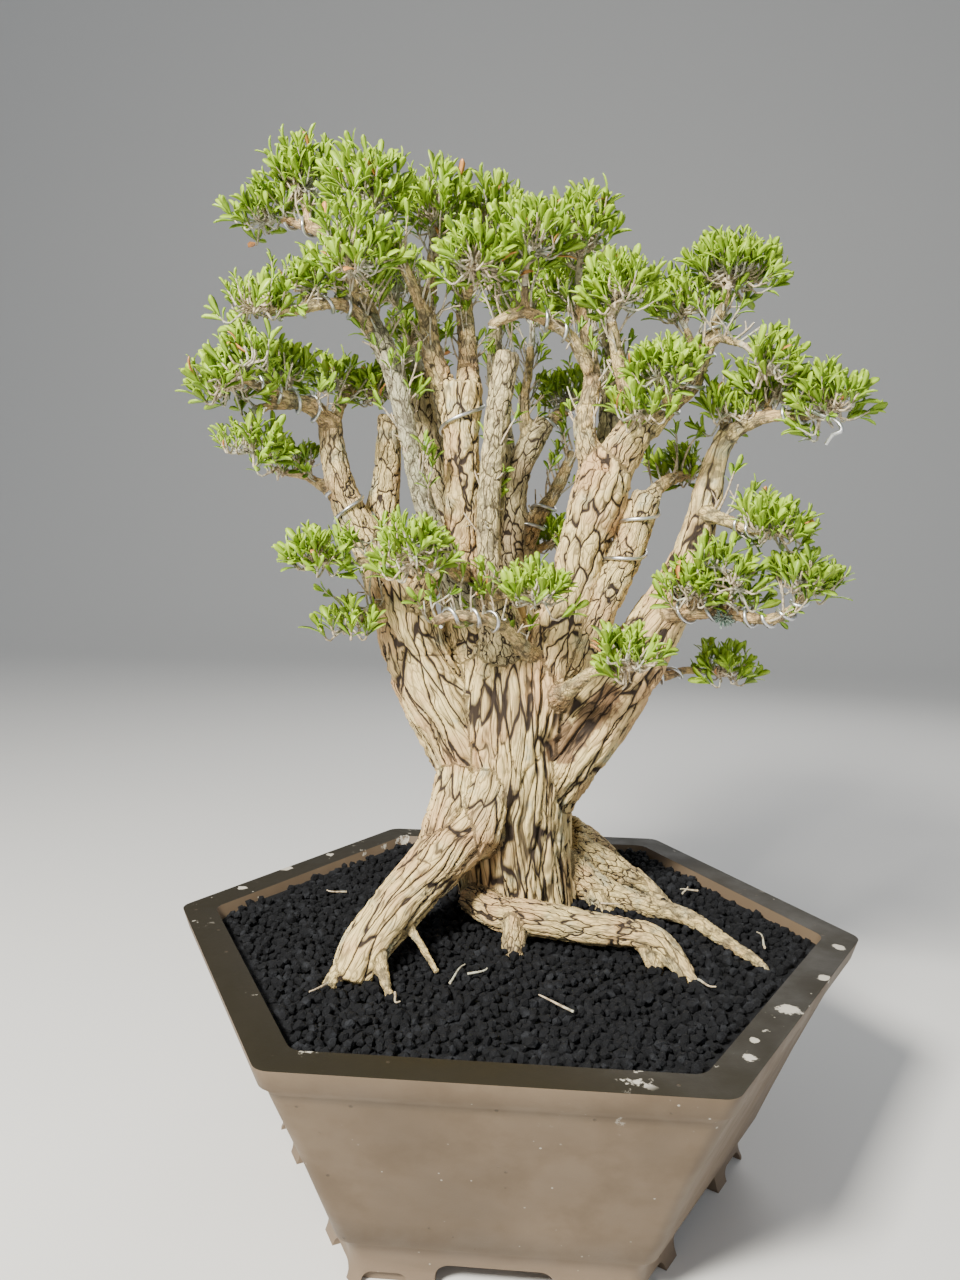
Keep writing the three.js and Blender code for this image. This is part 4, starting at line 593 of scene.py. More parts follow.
def noise(tree, vector, scale, detail=3.0, roughness=0.55, output=0):
    """A noise at a number of waves to the unit: its value, or its colour as output 1."""
    inputs = {"Vector": vector, "Scale": scale, "Detail": detail, "Roughness": roughness}
    return add_node(tree, "ShaderNodeTexNoise", inputs).outputs[output]


def object_place(tree):
    """Where a point lies in its object."""
    return add_node(tree, "ShaderNodeTexCoord").outputs["Object"]


def blend(tree, share, first, second):
    """A colour between two, or four-number tuples of them."""
    inputs = {0: share, 6: first, 7: second}
    return add_node(tree, "ShaderNodeMix", inputs, data_type="RGBA").outputs[2]


def opaque(colour):
    return (*colour, 1.0)


def new_material(name, roughness, metallic=0.0):
    """A material with its tree and shader."""
    material = bpy.data.materials.new(name)
    material.use_nodes = True
    tree = material.node_tree
    shader = tree.nodes["Principled BSDF"]
    shader.inputs["Roughness"].default_value = roughness
    shader.inputs["Metallic"].default_value = metallic
    return material, tree, shader


def coat(tree, shader, colour, height, depth, strength):
    """Gives a shader its colour and its bump."""
    tree.links.new(colour, shader.inputs["Base Color"])
    inputs = {"Strength": strength, "Distance": depth, "Height": height}
    node = add_node(tree, "ShaderNodeBump", inputs)
    tree.links.new(node.outputs[0], shader.inputs["Normal"])


def attribute(tree, name, output="Fac"):
    return add_node(tree, "ShaderNodeAttribute", attribute_name=name).outputs[output]


def named(tree, name, data_type="FLOAT"):
    """A geometry tree's reading of an attribute."""
    node = add_node(tree, "GeometryNodeInputNamedAttribute", {"Name": name}, data_type=data_type)
    return node.outputs[0]


def geometry_tree(name, sockets):
    """An empty geometry tree with its named inputs: its tree, the inputs and the output."""
    tree = bpy.data.node_groups.new(name, "GeometryNodeTree")
    tree.interface.new_socket("Geometry", in_out="INPUT", socket_type="NodeSocketGeometry")
    tree.interface.new_socket("Geometry", in_out="OUTPUT", socket_type="NodeSocketGeometry")
    for label, kind in sockets:
        tree.interface.new_socket(label, in_out="INPUT", socket_type=f"NodeSocket{kind}")
    source = tree.nodes.new("NodeGroupInput")
    result = tree.nodes.new("NodeGroupOutput")
    return tree, source.outputs, result.inputs[0]


def with_material(tree, geometry, material):
    """Geometry that wears a material."""
    inputs = {"Geometry": geometry, "Material": material}
    return add_node(tree, "GeometryNodeSetMaterial", inputs).outputs[0]


# Meshes


def plain_mesh(name, points, faces=(), edges=()):
    """A mesh from points in millimetres."""
    mesh = bpy.data.meshes.new(name)
    mesh.from_pydata((np.asarray(points, float) * MM).tolist(), list(edges), list(faces))
    mesh.update()
    return mesh


@contextmanager
def editing(mesh):
    """A mesh's points, edges and faces to work on, written back at the end."""
    work = bmesh.new()
    work.from_mesh(mesh)
    yield work
    work.to_mesh(mesh)
    work.free()


def new_object(name, data):
    """An object in the scene."""
    thing = bpy.data.objects.new(name, data)
    bpy.context.scene.collection.objects.link(thing)
    return thing


def grown(mesh, tree=None, values=None, modifiers=()):
    """What a mesh becomes after plain modifiers and a geometry tree, as a plain mesh."""
    seed = new_object("seed", mesh)
    for kind, settings in modifiers:
        modifier = seed.modifiers.new(kind.lower(), kind)
        for name, value in settings.items():
            setattr(modifier, name, value)
    if tree:
        modifier = seed.modifiers.new("grow", "NODES")
        modifier.node_group = tree
        for item in tree.interface.items_tree:
            if item.in_out == "INPUT" and item.name in (values or {}):
                modifier[item.identifier] = values[item.name]
    depsgraph = bpy.context.evaluated_depsgraph_get()
    evaluated = seed.evaluated_get(depsgraph)
    result = bpy.data.meshes.new_from_object(evaluated, preserve_all_data_layers=True, depsgraph=depsgraph)
    bpy.data.objects.remove(seed)
    return result


def new_piece(name, mesh, slot, *replaced, material=None):
    """A finished piece that stands for CAD nodes and rides on the object."""
    if len(mesh.polygons) == 0:
        raise RuntimeError(f"{name} has no faces")
    if material:
        mesh.materials.clear()
        mesh.materials.append(material)
    piece = new_object(name, mesh)
    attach(piece, "root")
    if replaced:
        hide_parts(*replaced)
    return piece


def store(mesh, name, values, kind="FLOAT", field="value"):
    """Keeps one value for each vertex."""
    layer = mesh.attributes.new(name, kind, "POINT")
    layer.data.foreach_set(field, np.ascontiguousarray(values, dtype=np.float32).ravel())


def places(mesh):
    """A mesh's vertices in millimetres."""
    points = np.empty(len(mesh.vertices) * 3, np.float32)
    mesh.vertices.foreach_get("co", points)
    return points.reshape(-1, 3) / MM


def shade_smooth(mesh):
    mesh.polygons.foreach_set("use_smooth", np.ones(len(mesh.polygons), bool))
    mesh.update()


def unit(vectors):
    vectors = np.asarray(vectors, float)
    return vectors / np.maximum(np.linalg.norm(vectors, axis=-1, keepdims=True), 1e-9)


def turned(first, second, turn):
    """A direction at a turn from the first of two towards the second."""
    return first * math.cos(turn) + second * math.sin(turn)


def sides_of(direction, guide):
    """Two directions across one, the first of them also across a guide."""
    across = unit(np.cross(direction, guide))
    return across, np.cross(direction, across)


def joined(parts):
    """One list of points and faces from several."""
    points = []
    faces = []
    start = 0
    for part_points, part_faces in parts:
        points.append(part_points)
        faces.extend([index + start for index in face] for face in part_faces)
        start += len(part_points)
    return np.vstack(points), faces


# Lines and tubes


def smooth_line(route, step=LINE_STEP):
    """Rows of [x, y, z, radius] about one step apart on a smooth line through a route's points."""
    route = np.array(route, float)
    padded = np.vstack([2 * route[0] - route[1], route, 2 * route[-1] - route[-2]])
    rows = []
    for index in range(len(route) - 1):
        before, here, after, beyond = padded[index:index + 4]
        count = max(1, round(np.linalg.norm(after[:3] - here[:3]) / step))
        for share in np.arange(count) / count:
            rows.append(here + 0.5 * share * (
                after - before
                + share * (2 * before - 5 * here + 4 * after - beyond
                           + share * (3 * (here - after) + beyond - before))))
    rows.append(route[-1])
    return np.array(rows)


def lengths_along(line, stretch=1.0):
    """How far along a line each of its points lies, shortened by a stretch."""
    steps = np.linalg.norm(np.diff(line[:, :3], axis=0), axis=1) / stretch
    return np.concatenate([[0], np.cumsum(steps)])


def frames_along(line):
    """Directions along a line and two across it that don't twist."""
    along = unit(np.gradient(line[:, :3], axis=0))
    across = np.empty_like(along)
    side = np.array([1.0, 0.0, 0.0]) if abs(along[0][0]) < 0.8 else np.array([0.0, 1.0, 0.0])
    for index, direction in enumerate(along):
        side = unit(side - direction * side.dot(direction))
        across[index] = side
    return along, across, np.cross(along, across)


def tube(line, sides):
    """Points and faces of a closed tube along a line."""
    _, across, beside = frames_along(line)
    turn = np.arange(sides) * 2 * np.pi / sides
    ring = across[:, None] * np.cos(turn)[:, None] + beside[:, None] * np.sin(turn)[:, None]
    points = (line[:, None, :3] + ring * line[:, None, 3:4]).reshape(-1, 3)
    row = np.arange(len(line) - 1)[:, None] * sides
    side = np.arange(sides)
    next_side = (side + 1) % sides
    quads = np.stack([row + side, row + next_side, row + next_side + sides, row + side + sides], -1)
    caps = [side[::-1].tolist(), (side + (len(line) - 1) * sides).tolist()]
    return points, quads.reshape(-1, 4).tolist() + caps


LINES = {name: smooth_line(route) for name, route in WOOD.items()}


# Bark and wood


def bark_fields(points):
    """Each point's place round and along its limb, with the limb's radius and greyness."""
    limbs = []
    for number, (name, line) in enumerate(LINES.items()):
        low = np.clip((LOW_PLATES[1] - line[:, 2]) / (LOW_PLATES[1] - LOW_PLATES[0]), 0, 1)
        stretch = LONG_PLATES.get(name, 1.0) * (1 + LOW_STRETCH * low * (name in FLANKS))
        size = np.clip(line[:, 3].mean() / PLATE_GIRTH, LEAST_PLATE, 1.0)
        same = [*np.multiply(PATTERN_SHIFT, number), size, GREY_WOOD.get(name, 0.0)]
        limbs.append(np.column_stack([
            line, *frames_along(line), lengths_along(line, stretch[1:]), stretch,
            np.tile(same, (len(line), 1))]))
    ends = np.cumsum([3, 1, 3, 3, 3, 1, 1, 3, 1])
    centres, radii, along, across, beside, arc, stretch, offset, size, grey = (
        np.ascontiguousarray(part.squeeze()) for part in np.split(np.vstack(limbs), ends, axis=1))
    nearest = np.empty(len(points), int)
    squares = (centres ** 2).sum(1) - radii ** 2
    for start in range(0, len(points), POINTS_AT_ONCE):
        chunk = points[start:start + POINTS_AT_ONCE]
        depth = ((chunk ** 2).sum(1)[:, None] - 2 * chunk @ centres.T + squares) / (2 * radii + LIMB_BLEND)
        nearest[start:start + POINTS_AT_ONCE] = depth.argmin(1)
    away = points - centres[nearest]
    flow = np.stack([
        (away * across[nearest]).sum(1),
        (away * beside[nearest]).sum(1),
        arc[nearest] + (away * along[nearest]).sum(1) / stretch[nearest],
    ], -1) / size[nearest][:, None] + offset[nearest]
    return flow, radii[nearest], grey[nearest]


def hollow_share(points):
    """How deep each point lies in the rotten hollow, from 0 to 1."""
    start, end = np.array(HOLLOW_ENDS)
    line = end - start
    share = np.clip((points - start) @ line / line.dot(line), 0, 1)
    away = np.linalg.norm(points - start - share[:, None] * line, axis=1)
    return np.clip(HOLLOW_EDGE - away / HOLLOW_RADIUS, 0, 1)


def cracks_at(tree, place, feature):
    """The cells of cracked bark."""
    return add_node(tree, "ShaderNodeTexVoronoi", {"Vector": place, "Scale": 1.0}, feature=feature)


def bark_pattern(tree, flow, width, length):
    """Distances to the bark's cracks and fine cracks, each plate's draw, its streaks and seams."""
    across = calc(tree, "DIVIDE", 1.0, width)
    lengthwise = calc(tree, "DIVIDE", 1.0, length)
    wander = noise(tree, flow, 0.045, 2.0, output=1)
    middled = calc_vector(tree, "SUBTRACT", wander, (0.5, 0.5, 0.5))
    bent = calc_vector(tree, "ADD", flow, calc_vector(tree, "MULTIPLY", middled, (13.0, 13.0, 22.0)))
    scale = add_node(tree, "ShaderNodeCombineXYZ", {0: across, 1: across, 2: lengthwise}).outputs[0]
    spread = calc_vector(tree, "MULTIPLY", bent, scale)
    edges = cracks_at(tree, spread, "DISTANCE_TO_EDGE")
    cells = cracks_at(tree, spread, "F1")
    fine_edges = cracks_at(tree, calc_vector(tree, "MULTIPLY", spread, (2.3, 2.3, 1.7)), "DISTANCE_TO_EDGE")
    streak_place = calc_vector(tree, "MULTIPLY", bent, (0.3, 0.3, 0.025))
    streak = noise(tree, streak_place, 1.0, 4.0)
    flute_place = calc_vector(tree, "MULTIPLY", bent, (0.1, 0.1, 0.022))
    flute = noise(tree, flute_place, 1.0, 1.5)
    seam = calc(tree, "ABSOLUTE", calc(tree, "SUBTRACT", flute, 0.5))
    cell = add_node(tree, "ShaderNodeSeparateXYZ", {0: cells.outputs["Color"]}).outputs[0]
    return edges.outputs["Distance"], fine_edges.outputs["Distance"], cell, streak, seam


def bark_relief_tree():
    """Moves the wood's surface in and out along the pattern of its bark."""
    tree, given, result = geometry_tree("Bark Relief", [
        ("Crack Depth", "Float"), ("Plate Width", "Float"), ("Plate Length", "Float"),
        ("Bark", "Material")])
    flow = named(tree, "bark_flow", "FLOAT_VECTOR")
    girth = named(tree, "girth")
    millimetres = 1 / MM
    width = calc(tree, "MULTIPLY", given["Plate Width"], millimetres)
    length = calc(tree, "MULTIPLY", given["Plate Length"], millimetres)
    edge, fine_edge, cell, streak, seam = bark_pattern(tree, flow, width, length)
    thick = ramp(tree, girth, 16.0, 34.0)
    plate = ramp(tree, edge, 0.0, 0.16)
    ridge = ramp(tree, seam, 0.0, 0.07)
    plate_depth = calc(tree, "MULTIPLY_ADD", thick, -0.35, 0.95)
    seam_depth = calc(tree, "MULTIPLY_ADD", thick, 0.9, 0.25)
    height = calc(tree, "MULTIPLY", calc(tree, "SUBTRACT", plate, 1.0), plate_depth)
    height = calc(tree, "MULTIPLY_ADD", calc(tree, "SUBTRACT", ridge, 1.0), seam_depth, height)
    height = calc(tree, "MULTIPLY_ADD", ramp(tree, fine_edge, 0.0, 0.14), 0.2, height)
    height = calc(tree, "MULTIPLY_ADD", streak, 0.8, height)
    height = calc(tree, "MULTIPLY_ADD", cell, 0.3, height)
    height = calc(tree, "ADD", height, -0.2)
    crumbs = noise(tree, flow, 0.22, 3.0)
    rotten = calc(tree, "MULTIPLY_ADD", crumbs, 1.6, -3.2)
    height = calc(tree, "MULTIPLY_ADD", named(tree, "hollow"), rotten, height)
    share = add_node(tree, "ShaderNodeMapRange", {0: girth, 1: 2.0, 2: 22.0, 3: 0.14, 4: 1.0}).outputs[0]
    reach = calc(tree, "MULTIPLY", calc(tree, "MULTIPLY", height, share), given["Crack Depth"])
    normal = add_node(tree, "GeometryNodeInputNormal").outputs[0]
    offset = calc_vector(tree, "SCALE", normal, reach)
    moved = add_node(tree, "GeometryNodeSetPosition", {"Geometry": given["Geometry"], "Offset": offset})
    feed(tree, result, with_material(tree, moved.outputs[0], given["Bark"]))
    return tree


def bark_material(wood):
    """Cream and tan bark with streaks and a grey-green film, darkened with painted shade in its cracks and
    furrows
    """
    material, tree, shader = new_material("bark", roughness=0.85)
    flow = attribute(tree, "bark_flow", "Vector")
    girth = attribute(tree, "girth")
    grey = attribute(tree, "greyness")
    edge, fine_edge, cell, streak, seam = bark_pattern(
        tree, flow, wood.plate_width / MM, wood.plate_length / MM)
    place = object_place(tree)
    patches = noise(tree, place, 28.0, 4.0)
    blotches = noise(tree, place, 75.0, 5.0)
    grain = noise(tree, calc_vector(tree, "MULTIPLY", flow, (1.1, 1.1, 0.16)), 1.0, 5.0)
    warm = calc(tree, "ADD", ramp(tree, patches, 0.42, 0.66, 0.0, 0.75), calc(tree, "MULTIPLY", cell, 0.3))
    colour = blend(tree, calc(tree, "MINIMUM", warm, 1.0), opaque(wood.cream), opaque(wood.tan))
    film = calc(tree, "MULTIPLY", ramp(tree, blotches, 0.5, 0.7), ramp(tree, patches, 0.62, 0.4))
    film = calc(tree, "MAXIMUM", calc(tree, "MULTIPLY", film, 0.75), calc(tree, "MULTIPLY", grey, 0.75))
    colour = blend(tree, film, colour, opaque(wood.lichen))
    shade = ramp(tree, grain, 0.25, 0.75, 0.72, 1.12)
    mottle = noise(tree, place, 170.0, 5.0)
    thin = calc(tree, "MULTIPLY", ramp(tree, mottle, 0.47, 0.58, 0.0, 0.75), ramp(tree, girth, 12.0, 6.0))
    colour = blend(tree, thin, colour, opaque(wood.thin_bark))
    ragged = calc(tree, "ADD", attribute(tree, "hollow"), calc(tree, "ADD", mottle, blotches))
    rot = ramp(tree, ragged, 1.3, 1.55, 0.0, 0.9)
    colour = blend(tree, rot, colour, opaque(wood.rotten))
    shaded = calc_vector(tree, "SCALE", colour, shade)
    # Painted shade: the cracks, the fine cracks and the sunken furrows between streaks are darkened towards
    # the crack colour
    crack = calc(tree, "MULTIPLY", ramp(tree, edge, 0.08, 0.018), ramp(tree, girth, 2.5, 9.0, 0.4, 1.0))
    seam_line = ramp(tree, seam, 0.024, 0.004)
    long_crack = calc(tree, "MULTIPLY", seam_line, ramp(tree, girth, 5.0, 20.0, 0.2, 0.9))
    small_crack = calc(tree, "MULTIPLY", ramp(tree, fine_edge, 0.07, 0.01), 0.5)
    furrow_shade = ramp(tree, streak, 0.4, 0.28, 0.0, 0.4)
    cracks = calc(tree, "MAXIMUM", crack, long_crack)
    dark = calc(tree, "MAXIMUM", calc(tree, "MAXIMUM", cracks, small_crack), furrow_shade, clamp=True)
    colour = blend(tree, dark, shaded, opaque(wood.crack_shade_colour))
    height = calc(tree, "MULTIPLY_ADD", ramp(tree, fine_edge, 0.0, 0.12), 0.5, grain)
    height = calc(tree, "MULTIPLY_ADD", ramp(tree, edge, 0.0, 0.1), 0.8, height)
    coat(tree, shader, colour, height, 0.0011, 0.75)
    return material


def split_at(mesh, height, keep_upper):
    """The closed half of a mesh above or below a height."""
    half = mesh.copy()
    with editing(half) as work:
        cut = bmesh.ops.bisect_plane(
            work, geom=work.verts[:] + work.edges[:] + work.faces[:], plane_co=(0, 0, height * MM),
            plane_no=(0, 0, 1), clear_inner=keep_upper, clear_outer=not keep_upper)
        rim = [item for item in cut["geom_cut"] if isinstance(item, bmesh.types.BMEdge)]
        bmesh.ops.holes_fill(work, edges=rim)
    half.update()
    return half


class BONSAI_OT_wood(bpy.types.Operator):
    """Grow the trunk, roots, limbs and branches with their bark"""

    bl_idname = "bonsai.wood"
    bl_label = "Wood"

    def execute(self, context):
        wood = context.scene.bonsai_wood
        parts = []
        for line in LINES.values():
            thick = line.copy()
            thick[:, 3] += WOOD_SWELLING
            sides = next(sides for girth, sides in SIDES_OF_GIRTH if line[:, 3].max() > girth)
            parts.append(tube(thick, sides))
        mesh = plain_mesh("wood", *joined(parts))
        mesh = grown(mesh, modifiers=[
            ("REMESH", {"mode": "VOXEL", "voxel_size": wood.mesh_size}),
            ("SMOOTH", {"factor": 0.5, "iterations": 3})])
        points = places(mesh)
        flow, girth, grey = bark_fields(points)
        store(mesh, "bark_flow", flow, "FLOAT_VECTOR", "vector")
        store(mesh, "girth", girth)
        store(mesh, "greyness", grey)
        store(mesh, "hollow", hollow_share(points))
        surface = bark_material(wood)
        mesh = grown(mesh, bark_relief_tree(), {
            "Crack Depth": wood.crack_depth, "Plate Width": wood.plate_width,
            "Plate Length": wood.plate_length, "Bark": surface})
        for name, upper in (("tree_base", False), ("tree_limbs", True)):
            half = split_at(mesh, SPLIT_HEIGHT, upper)
            shade_smooth(half)
            new_piece(name, half, "bark", "tree", material=surface)
        return {"FINISHED"}


# Leaves and twigs


def leaf_form(leaves):
    """One spatulate leaf of unit length along Y: closed, folded a little along its midrib."""
    half = leaves.width / leaves.length / 2
    points = []
    for along, width, lift in LEAF_STATIONS:
        side = half * width
        edge = lift + side * LEAF_FOLD
        points += [
            (-side, along, edge), (0, along, lift), (side, along, edge), (0, along, lift - LEAF_THICKNESS)]
    faces = []
    for station in range(len(LEAF_STATIONS) - 1):
        for corner in range(4):
            here = station * 4 + corner
            next_corner = station * 4 + (corner + 1) % 4
            faces.append((here, here + 4, next_corner + 4, next_corner))
    last = (len(LEAF_STATIONS) - 1) * 4
    faces += [(0, 1, 2, 3), (last + 3, last + 2, last + 1, last)]
    mesh = bpy.data.meshes.new("leaf_form")
    mesh.from_pydata(points, [], faces)
    with editing(mesh) as work:
        bmesh.ops.recalc_face_normals(work, faces=work.faces[:])
    points = np.array(points)
    store(mesh, "leaf_along", points[:, 1])
    store(mesh, "leaf_across", points[:, 0] / half)
    shade_smooth(mesh)
    return new_object("leaf_form", mesh)


def strand_nodes(tree, lines, sides, material):
    """Round strands along a mesh's edges, as thick as the attribute thickness says."""
    curve = add_node(tree, "GeometryNodeMeshToCurve", {"Mesh": lines})
    circle = add_node(tree, "GeometryNodeCurvePrimitiveCircle", {"Resolution": sides, "Radius": 1.0})
    strand = add_node(tree, "GeometryNodeCurveToMesh", {
        "Curve": curve.outputs[0], "Profile Curve": circle.outputs[0], "Scale": named(tree, "thickness"),
        "Fill Caps": True})
    smooth = add_node(tree, "GeometryNodeSetShadeSmooth", {"Geometry": strand.outputs[0]})
    return with_material(tree, smooth.outputs[0], material)


def spray_tree():
    """Sets leaves on a spray's leaf points and makes round twigs along its lines."""
    tree, given, result = geometry_tree("Leafy Spray", [
        ("Leaf", "Object"), ("Leaf Surface", "Material"), ("Twig Bark", "Material"), ("Twig Sides", "Int")])
    bears = named(tree, "bears_leaf")
    is_leaf = add_node(tree, "FunctionNodeCompare", {0: bears, 1: 0.5}, operation="GREATER_THAN").outputs[0]
    parts = add_node(tree, "GeometryNodeSeparateGeometry", {
        "Geometry": given["Geometry"], "Selection": is_leaf})
    leaf = add_node(tree, "GeometryNodeObjectInfo", {"Object": given["Leaf"]})
    turn = add_node(tree, "FunctionNodeEulerToRotation", {0: named(tree, "turn", "FLOAT_VECTOR")})
    leaves = add_node(tree, "GeometryNodeInstanceOnPoints", {
        "Points": parts.outputs["Selection"], "Instance": leaf.outputs["Geometry"],
        "Rotation": turn.outputs[0], "Scale": named(tree, "size")})
    solid_leaves = add_node(tree, "GeometryNodeRealizeInstances", {"Geometry": leaves.outputs[0]})
    green = with_material(tree, solid_leaves.outputs[0], given["Leaf Surface"])
    twigs = strand_nodes(tree, parts.outputs["Inverted"], given["Twig Sides"], given["Twig Bark"])
    both = add_node(tree, "GeometryNodeJoinGeometry")
    tree.links.new(green, both.inputs[0])
    tree.links.new(twigs, both.inputs[0])
    feed(tree, result, both.outputs[0])
    return tree


def leaf_material(leaves):
    """Leathery leaves: lighter when young and with painted light on high shoots, darker with painted shade
    low and inside, with a pale midrib
    """
    material, tree, shader = new_material("leaf", roughness=0.38)
    shader.inputs["Specular IOR Level"].default_value = 0.32
    along = attribute(tree, "leaf_along")
    across = attribute(tree, "leaf_across")
    age_and_painted_light = attribute(tree, "age_and_painted_light")
    # Young growth and painted light: leaves high on shoots and on upturned shoots are lighter, low and
    # inner ones darker in painted shade
    youth_and_painted_light = calc(tree, "MULTIPLY_ADD", along, 0.35, calc(tree, "MULTIPLY", age_and_painted_light, 0.8), clamp=True)
    colour = blend(tree, youth_and_painted_light, opaque(leaves.old), opaque(leaves.young))
    middle = calc(tree, "ABSOLUTE", across)
    rib = ramp(tree, middle, 0.14, 0.02, 0.0, 0.4)
    colour = blend(tree, rib, colour, LEAF_RIB)
    place = object_place(tree)
    mottle = noise(tree, place, 260.0, 2.0)
    colour = blend(tree, ramp(tree, mottle, 0.55, 0.75, 0.0, 0.35), colour, LEAF_SPOTS)
    colour = blend(tree, ramp(tree, age_and_painted_light, -0.3, -0.7), colour, opaque(leaves.dead))
    coat(tree, shader, colour, calc(tree, "MULTIPLY_ADD", rib, -0.6, mottle), 0.0002, 0.5)
    return material


def twig_material(leaves):
    """Fine grey-tan twigs with rough bark"""
    material, tree, shader = new_material("twig", roughness=0.85)
    place = object_place(tree)
    rough = noise(tree, place, 420.0, 4.0)
    broad = noise(tree, place, 60.0, 2.0)
    pale = blend(tree, ramp(tree, broad, 0.4, 0.65), opaque(leaves.twig), TWIG_GREY)
    colour = blend(tree, ramp(tree, rough, 0.54, 0.38, 0.0, 0.7), pale, TWIG_PITS)
    coat(tree, shader, colour, rough, 0.0008, 0.8)
    return material


def lichen_material(wood):
    """Blue-green lichen"""
    material, tree, shader = new_material("lichen", roughness=0.9)
    place = object_place(tree)
    broad = noise(tree, place, 240.0, 2.0)
    colour = blend(tree, ramp(tree, broad, 0.4, 0.6), opaque(wood.tuft), LICHEN_TIPS)
    tree.links.new(colour, shader.inputs["Base Color"])
    return material


def welded(mesh):
    """A CAD node's points in millimetres, each once, and its faces."""
    points = places(mesh)
    corners = np.empty(len(mesh.loops), int)
    mesh.loops.foreach_get("vertex_index", corners)
    _, first, number = np.unique(np.round(points, 2), axis=0, return_index=True, return_inverse=True)
    return points[first], number.ravel()[corners].reshape(-1, 3)


def shoots_of(points, faces):
    """The shoots of a CAD spray, found from the tips of their leaves: [middle, upright, reach] for each."""
    near = [set() for _ in points]
    for face in faces:
        for corner in face:
            near[corner].update(face)
    for index, around in enumerate(near):
        around.discard(index)
    groups = []
    for tip, around in enumerate(near):
        if len(around) != 3:
            continue
        roots = set().union(*(near[corner] for corner in around)) - around - {tip}
        group = {"roots": roots, "tips": [tip]}
        for other in [other for other in groups if other["roots"] & roots]:
            group["roots"] = group["roots"] | other["roots"]
            group["tips"] += other["tips"]
            groups.remove(other)
        groups.append(group)
    shoots = []
    for group in groups:
        if len(group["tips"]) < 5:
            continue
        tips = points[group["tips"]]
        middle = points[sorted(group["roots"])].mean(0)
        upright = unit((tips - middle).sum(0))
        shoots.append((middle, upright, ((tips - middle) @ upright).max()))
    return shoots


def bent_line(start, heading, end, arriving, first_radius, last_radius, steps):
    """A line that leaves start along heading and reaches end along arriving."""
    length = np.linalg.norm(end - start)
    handles = np.array([start, start + heading * length * 0.4, end - arriving * length * 0.35, end])
    share = np.linspace(0, 1, steps + 1)[:, None]
    left = 1 - share
    weights = np.hstack([left ** 3, 3 * share * left ** 2, 3 * share ** 2 * left, share ** 3])
    radius = first_radius + (last_radius - first_radius) * share
    return np.hstack([weights @ handles, radius])


class Growth:
    """Collects lines of twigs and points that bear leaves."""

    def __init__(self, seed):
        self.random = np.random.default_rng(seed)
        self.points = []
        self.edges = []
        self.thickness = []
        self.leaves = []

    def add_twig(self, start, heading, end, arriving, radii, steps=6):
        """Adds a twig that leaves start along heading and reaches end along arriving: its line."""
        line = bent_line(start, heading, end, arriving, *radii, steps)
        first = len(self.points)
        self.points.extend(line[:, :3].tolist())
        self.thickness.extend((line[:, 3] * MM).tolist())
        self.edges.extend((first + step, first + step + 1) for step in range(steps))
        return line

    def add_leaf(self, place, direction, upper, length, age_and_painted_light):
        self.leaves.append((place, unit(direction), upper, length, age_and_painted_light))

    def add_shoot(self, base, upright, length, leaf_length, missing, ceiling, age_and_painted_light):
        """A fine upright shoot with crossed pairs of leaves."""
        random = self.random
        side = unit(np.cross(upright, unit(random.normal(size=3))))
        lean = unit(upright + side * random.uniform(-0.12, 0.12))
        top = base + lean * length
        self.add_twig(base, upright, top, lean, SHOOT_RADII, 3)
        pairs = max(3, round(length / PAIR_GAP))
        turn = random.uniform(0, math.pi)
        across, beside = sides_of(lean, SHOOT_GUIDE)
        for pair in range(pairs):
            share = (pair + 0.6) / pairs
            open_angle = math.radians(LOWEST_OPENING - CLOSING * share)
            outward = turned(across, beside, turn + pair * math.pi / 2)
            for way in (1, -1):
                if random.random() < missing:
                    continue
                angle = open_angle + random.normal() * 0.13
                direction = unit(turned(lean, way * outward, angle) + random.normal(size=3) * 0.07)
                upper = lean * math.sin(angle) - way * outward * math.cos(angle)
                upper = unit(upper - direction * upper.dot(direction))
                size = leaf_length * random.uniform(0.72, 1.08) * (1.02 - 0.3 * abs(share - 0.5))
                place = base + (top - base) * share
                over = (place + direction * size).dot(upright) - ceiling
                if over > 0:
                    size = max(size - over, leaf_length * 0.5)
                # Young growth and painted light: leaves higher up a shoot are lighter
                brightness = np.clip(age_and_painted_light + 0.35 * share + random.normal() * 0.14, 0, 1)
                if random.random() < DEAD_LEAVES:
                    brightness = DEAD_TINT
                self.add_leaf(place, direction, upper, size, brightness)

    def mesh(self, name):
        """The twigs' lines and the leaves' points as one mesh with what the tree reads."""
        twig_count = len(self.points)
        leaf_count = len(self.leaves)
        points = self.points + [leaf[0] for leaf in self.leaves]
        mesh = plain_mesh(name, points, edges=self.edges)
        none = np.zeros(twig_count)
        direction = np.array([leaf[1] for leaf in self.leaves])
        upper = np.array([leaf[2] for leaf in self.leaves])
        sideways = np.cross(direction, upper)
        turn = np.stack([
            np.arctan2(direction[:, 2], upper[:, 2]),
            np.arcsin(np.clip(-sideways[:, 2], -1, 1)),
            np.arctan2(sideways[:, 1], sideways[:, 0]),
        ], -1)
        store(mesh, "bears_leaf", np.concatenate([none, np.ones(leaf_count)]))
        store(mesh, "thickness", np.concatenate([self.thickness, np.zeros(leaf_count)]))
        store(mesh, "turn", np.vstack([np.zeros((twig_count, 3)), turn]), "FLOAT_VECTOR", "vector")
        store(mesh, "size", np.concatenate([none, [leaf[3] * MM for leaf in self.leaves]]))
        store(mesh, "age_and_painted_light", np.concatenate([none, [leaf[4] for leaf in self.leaves]]))
        return mesh


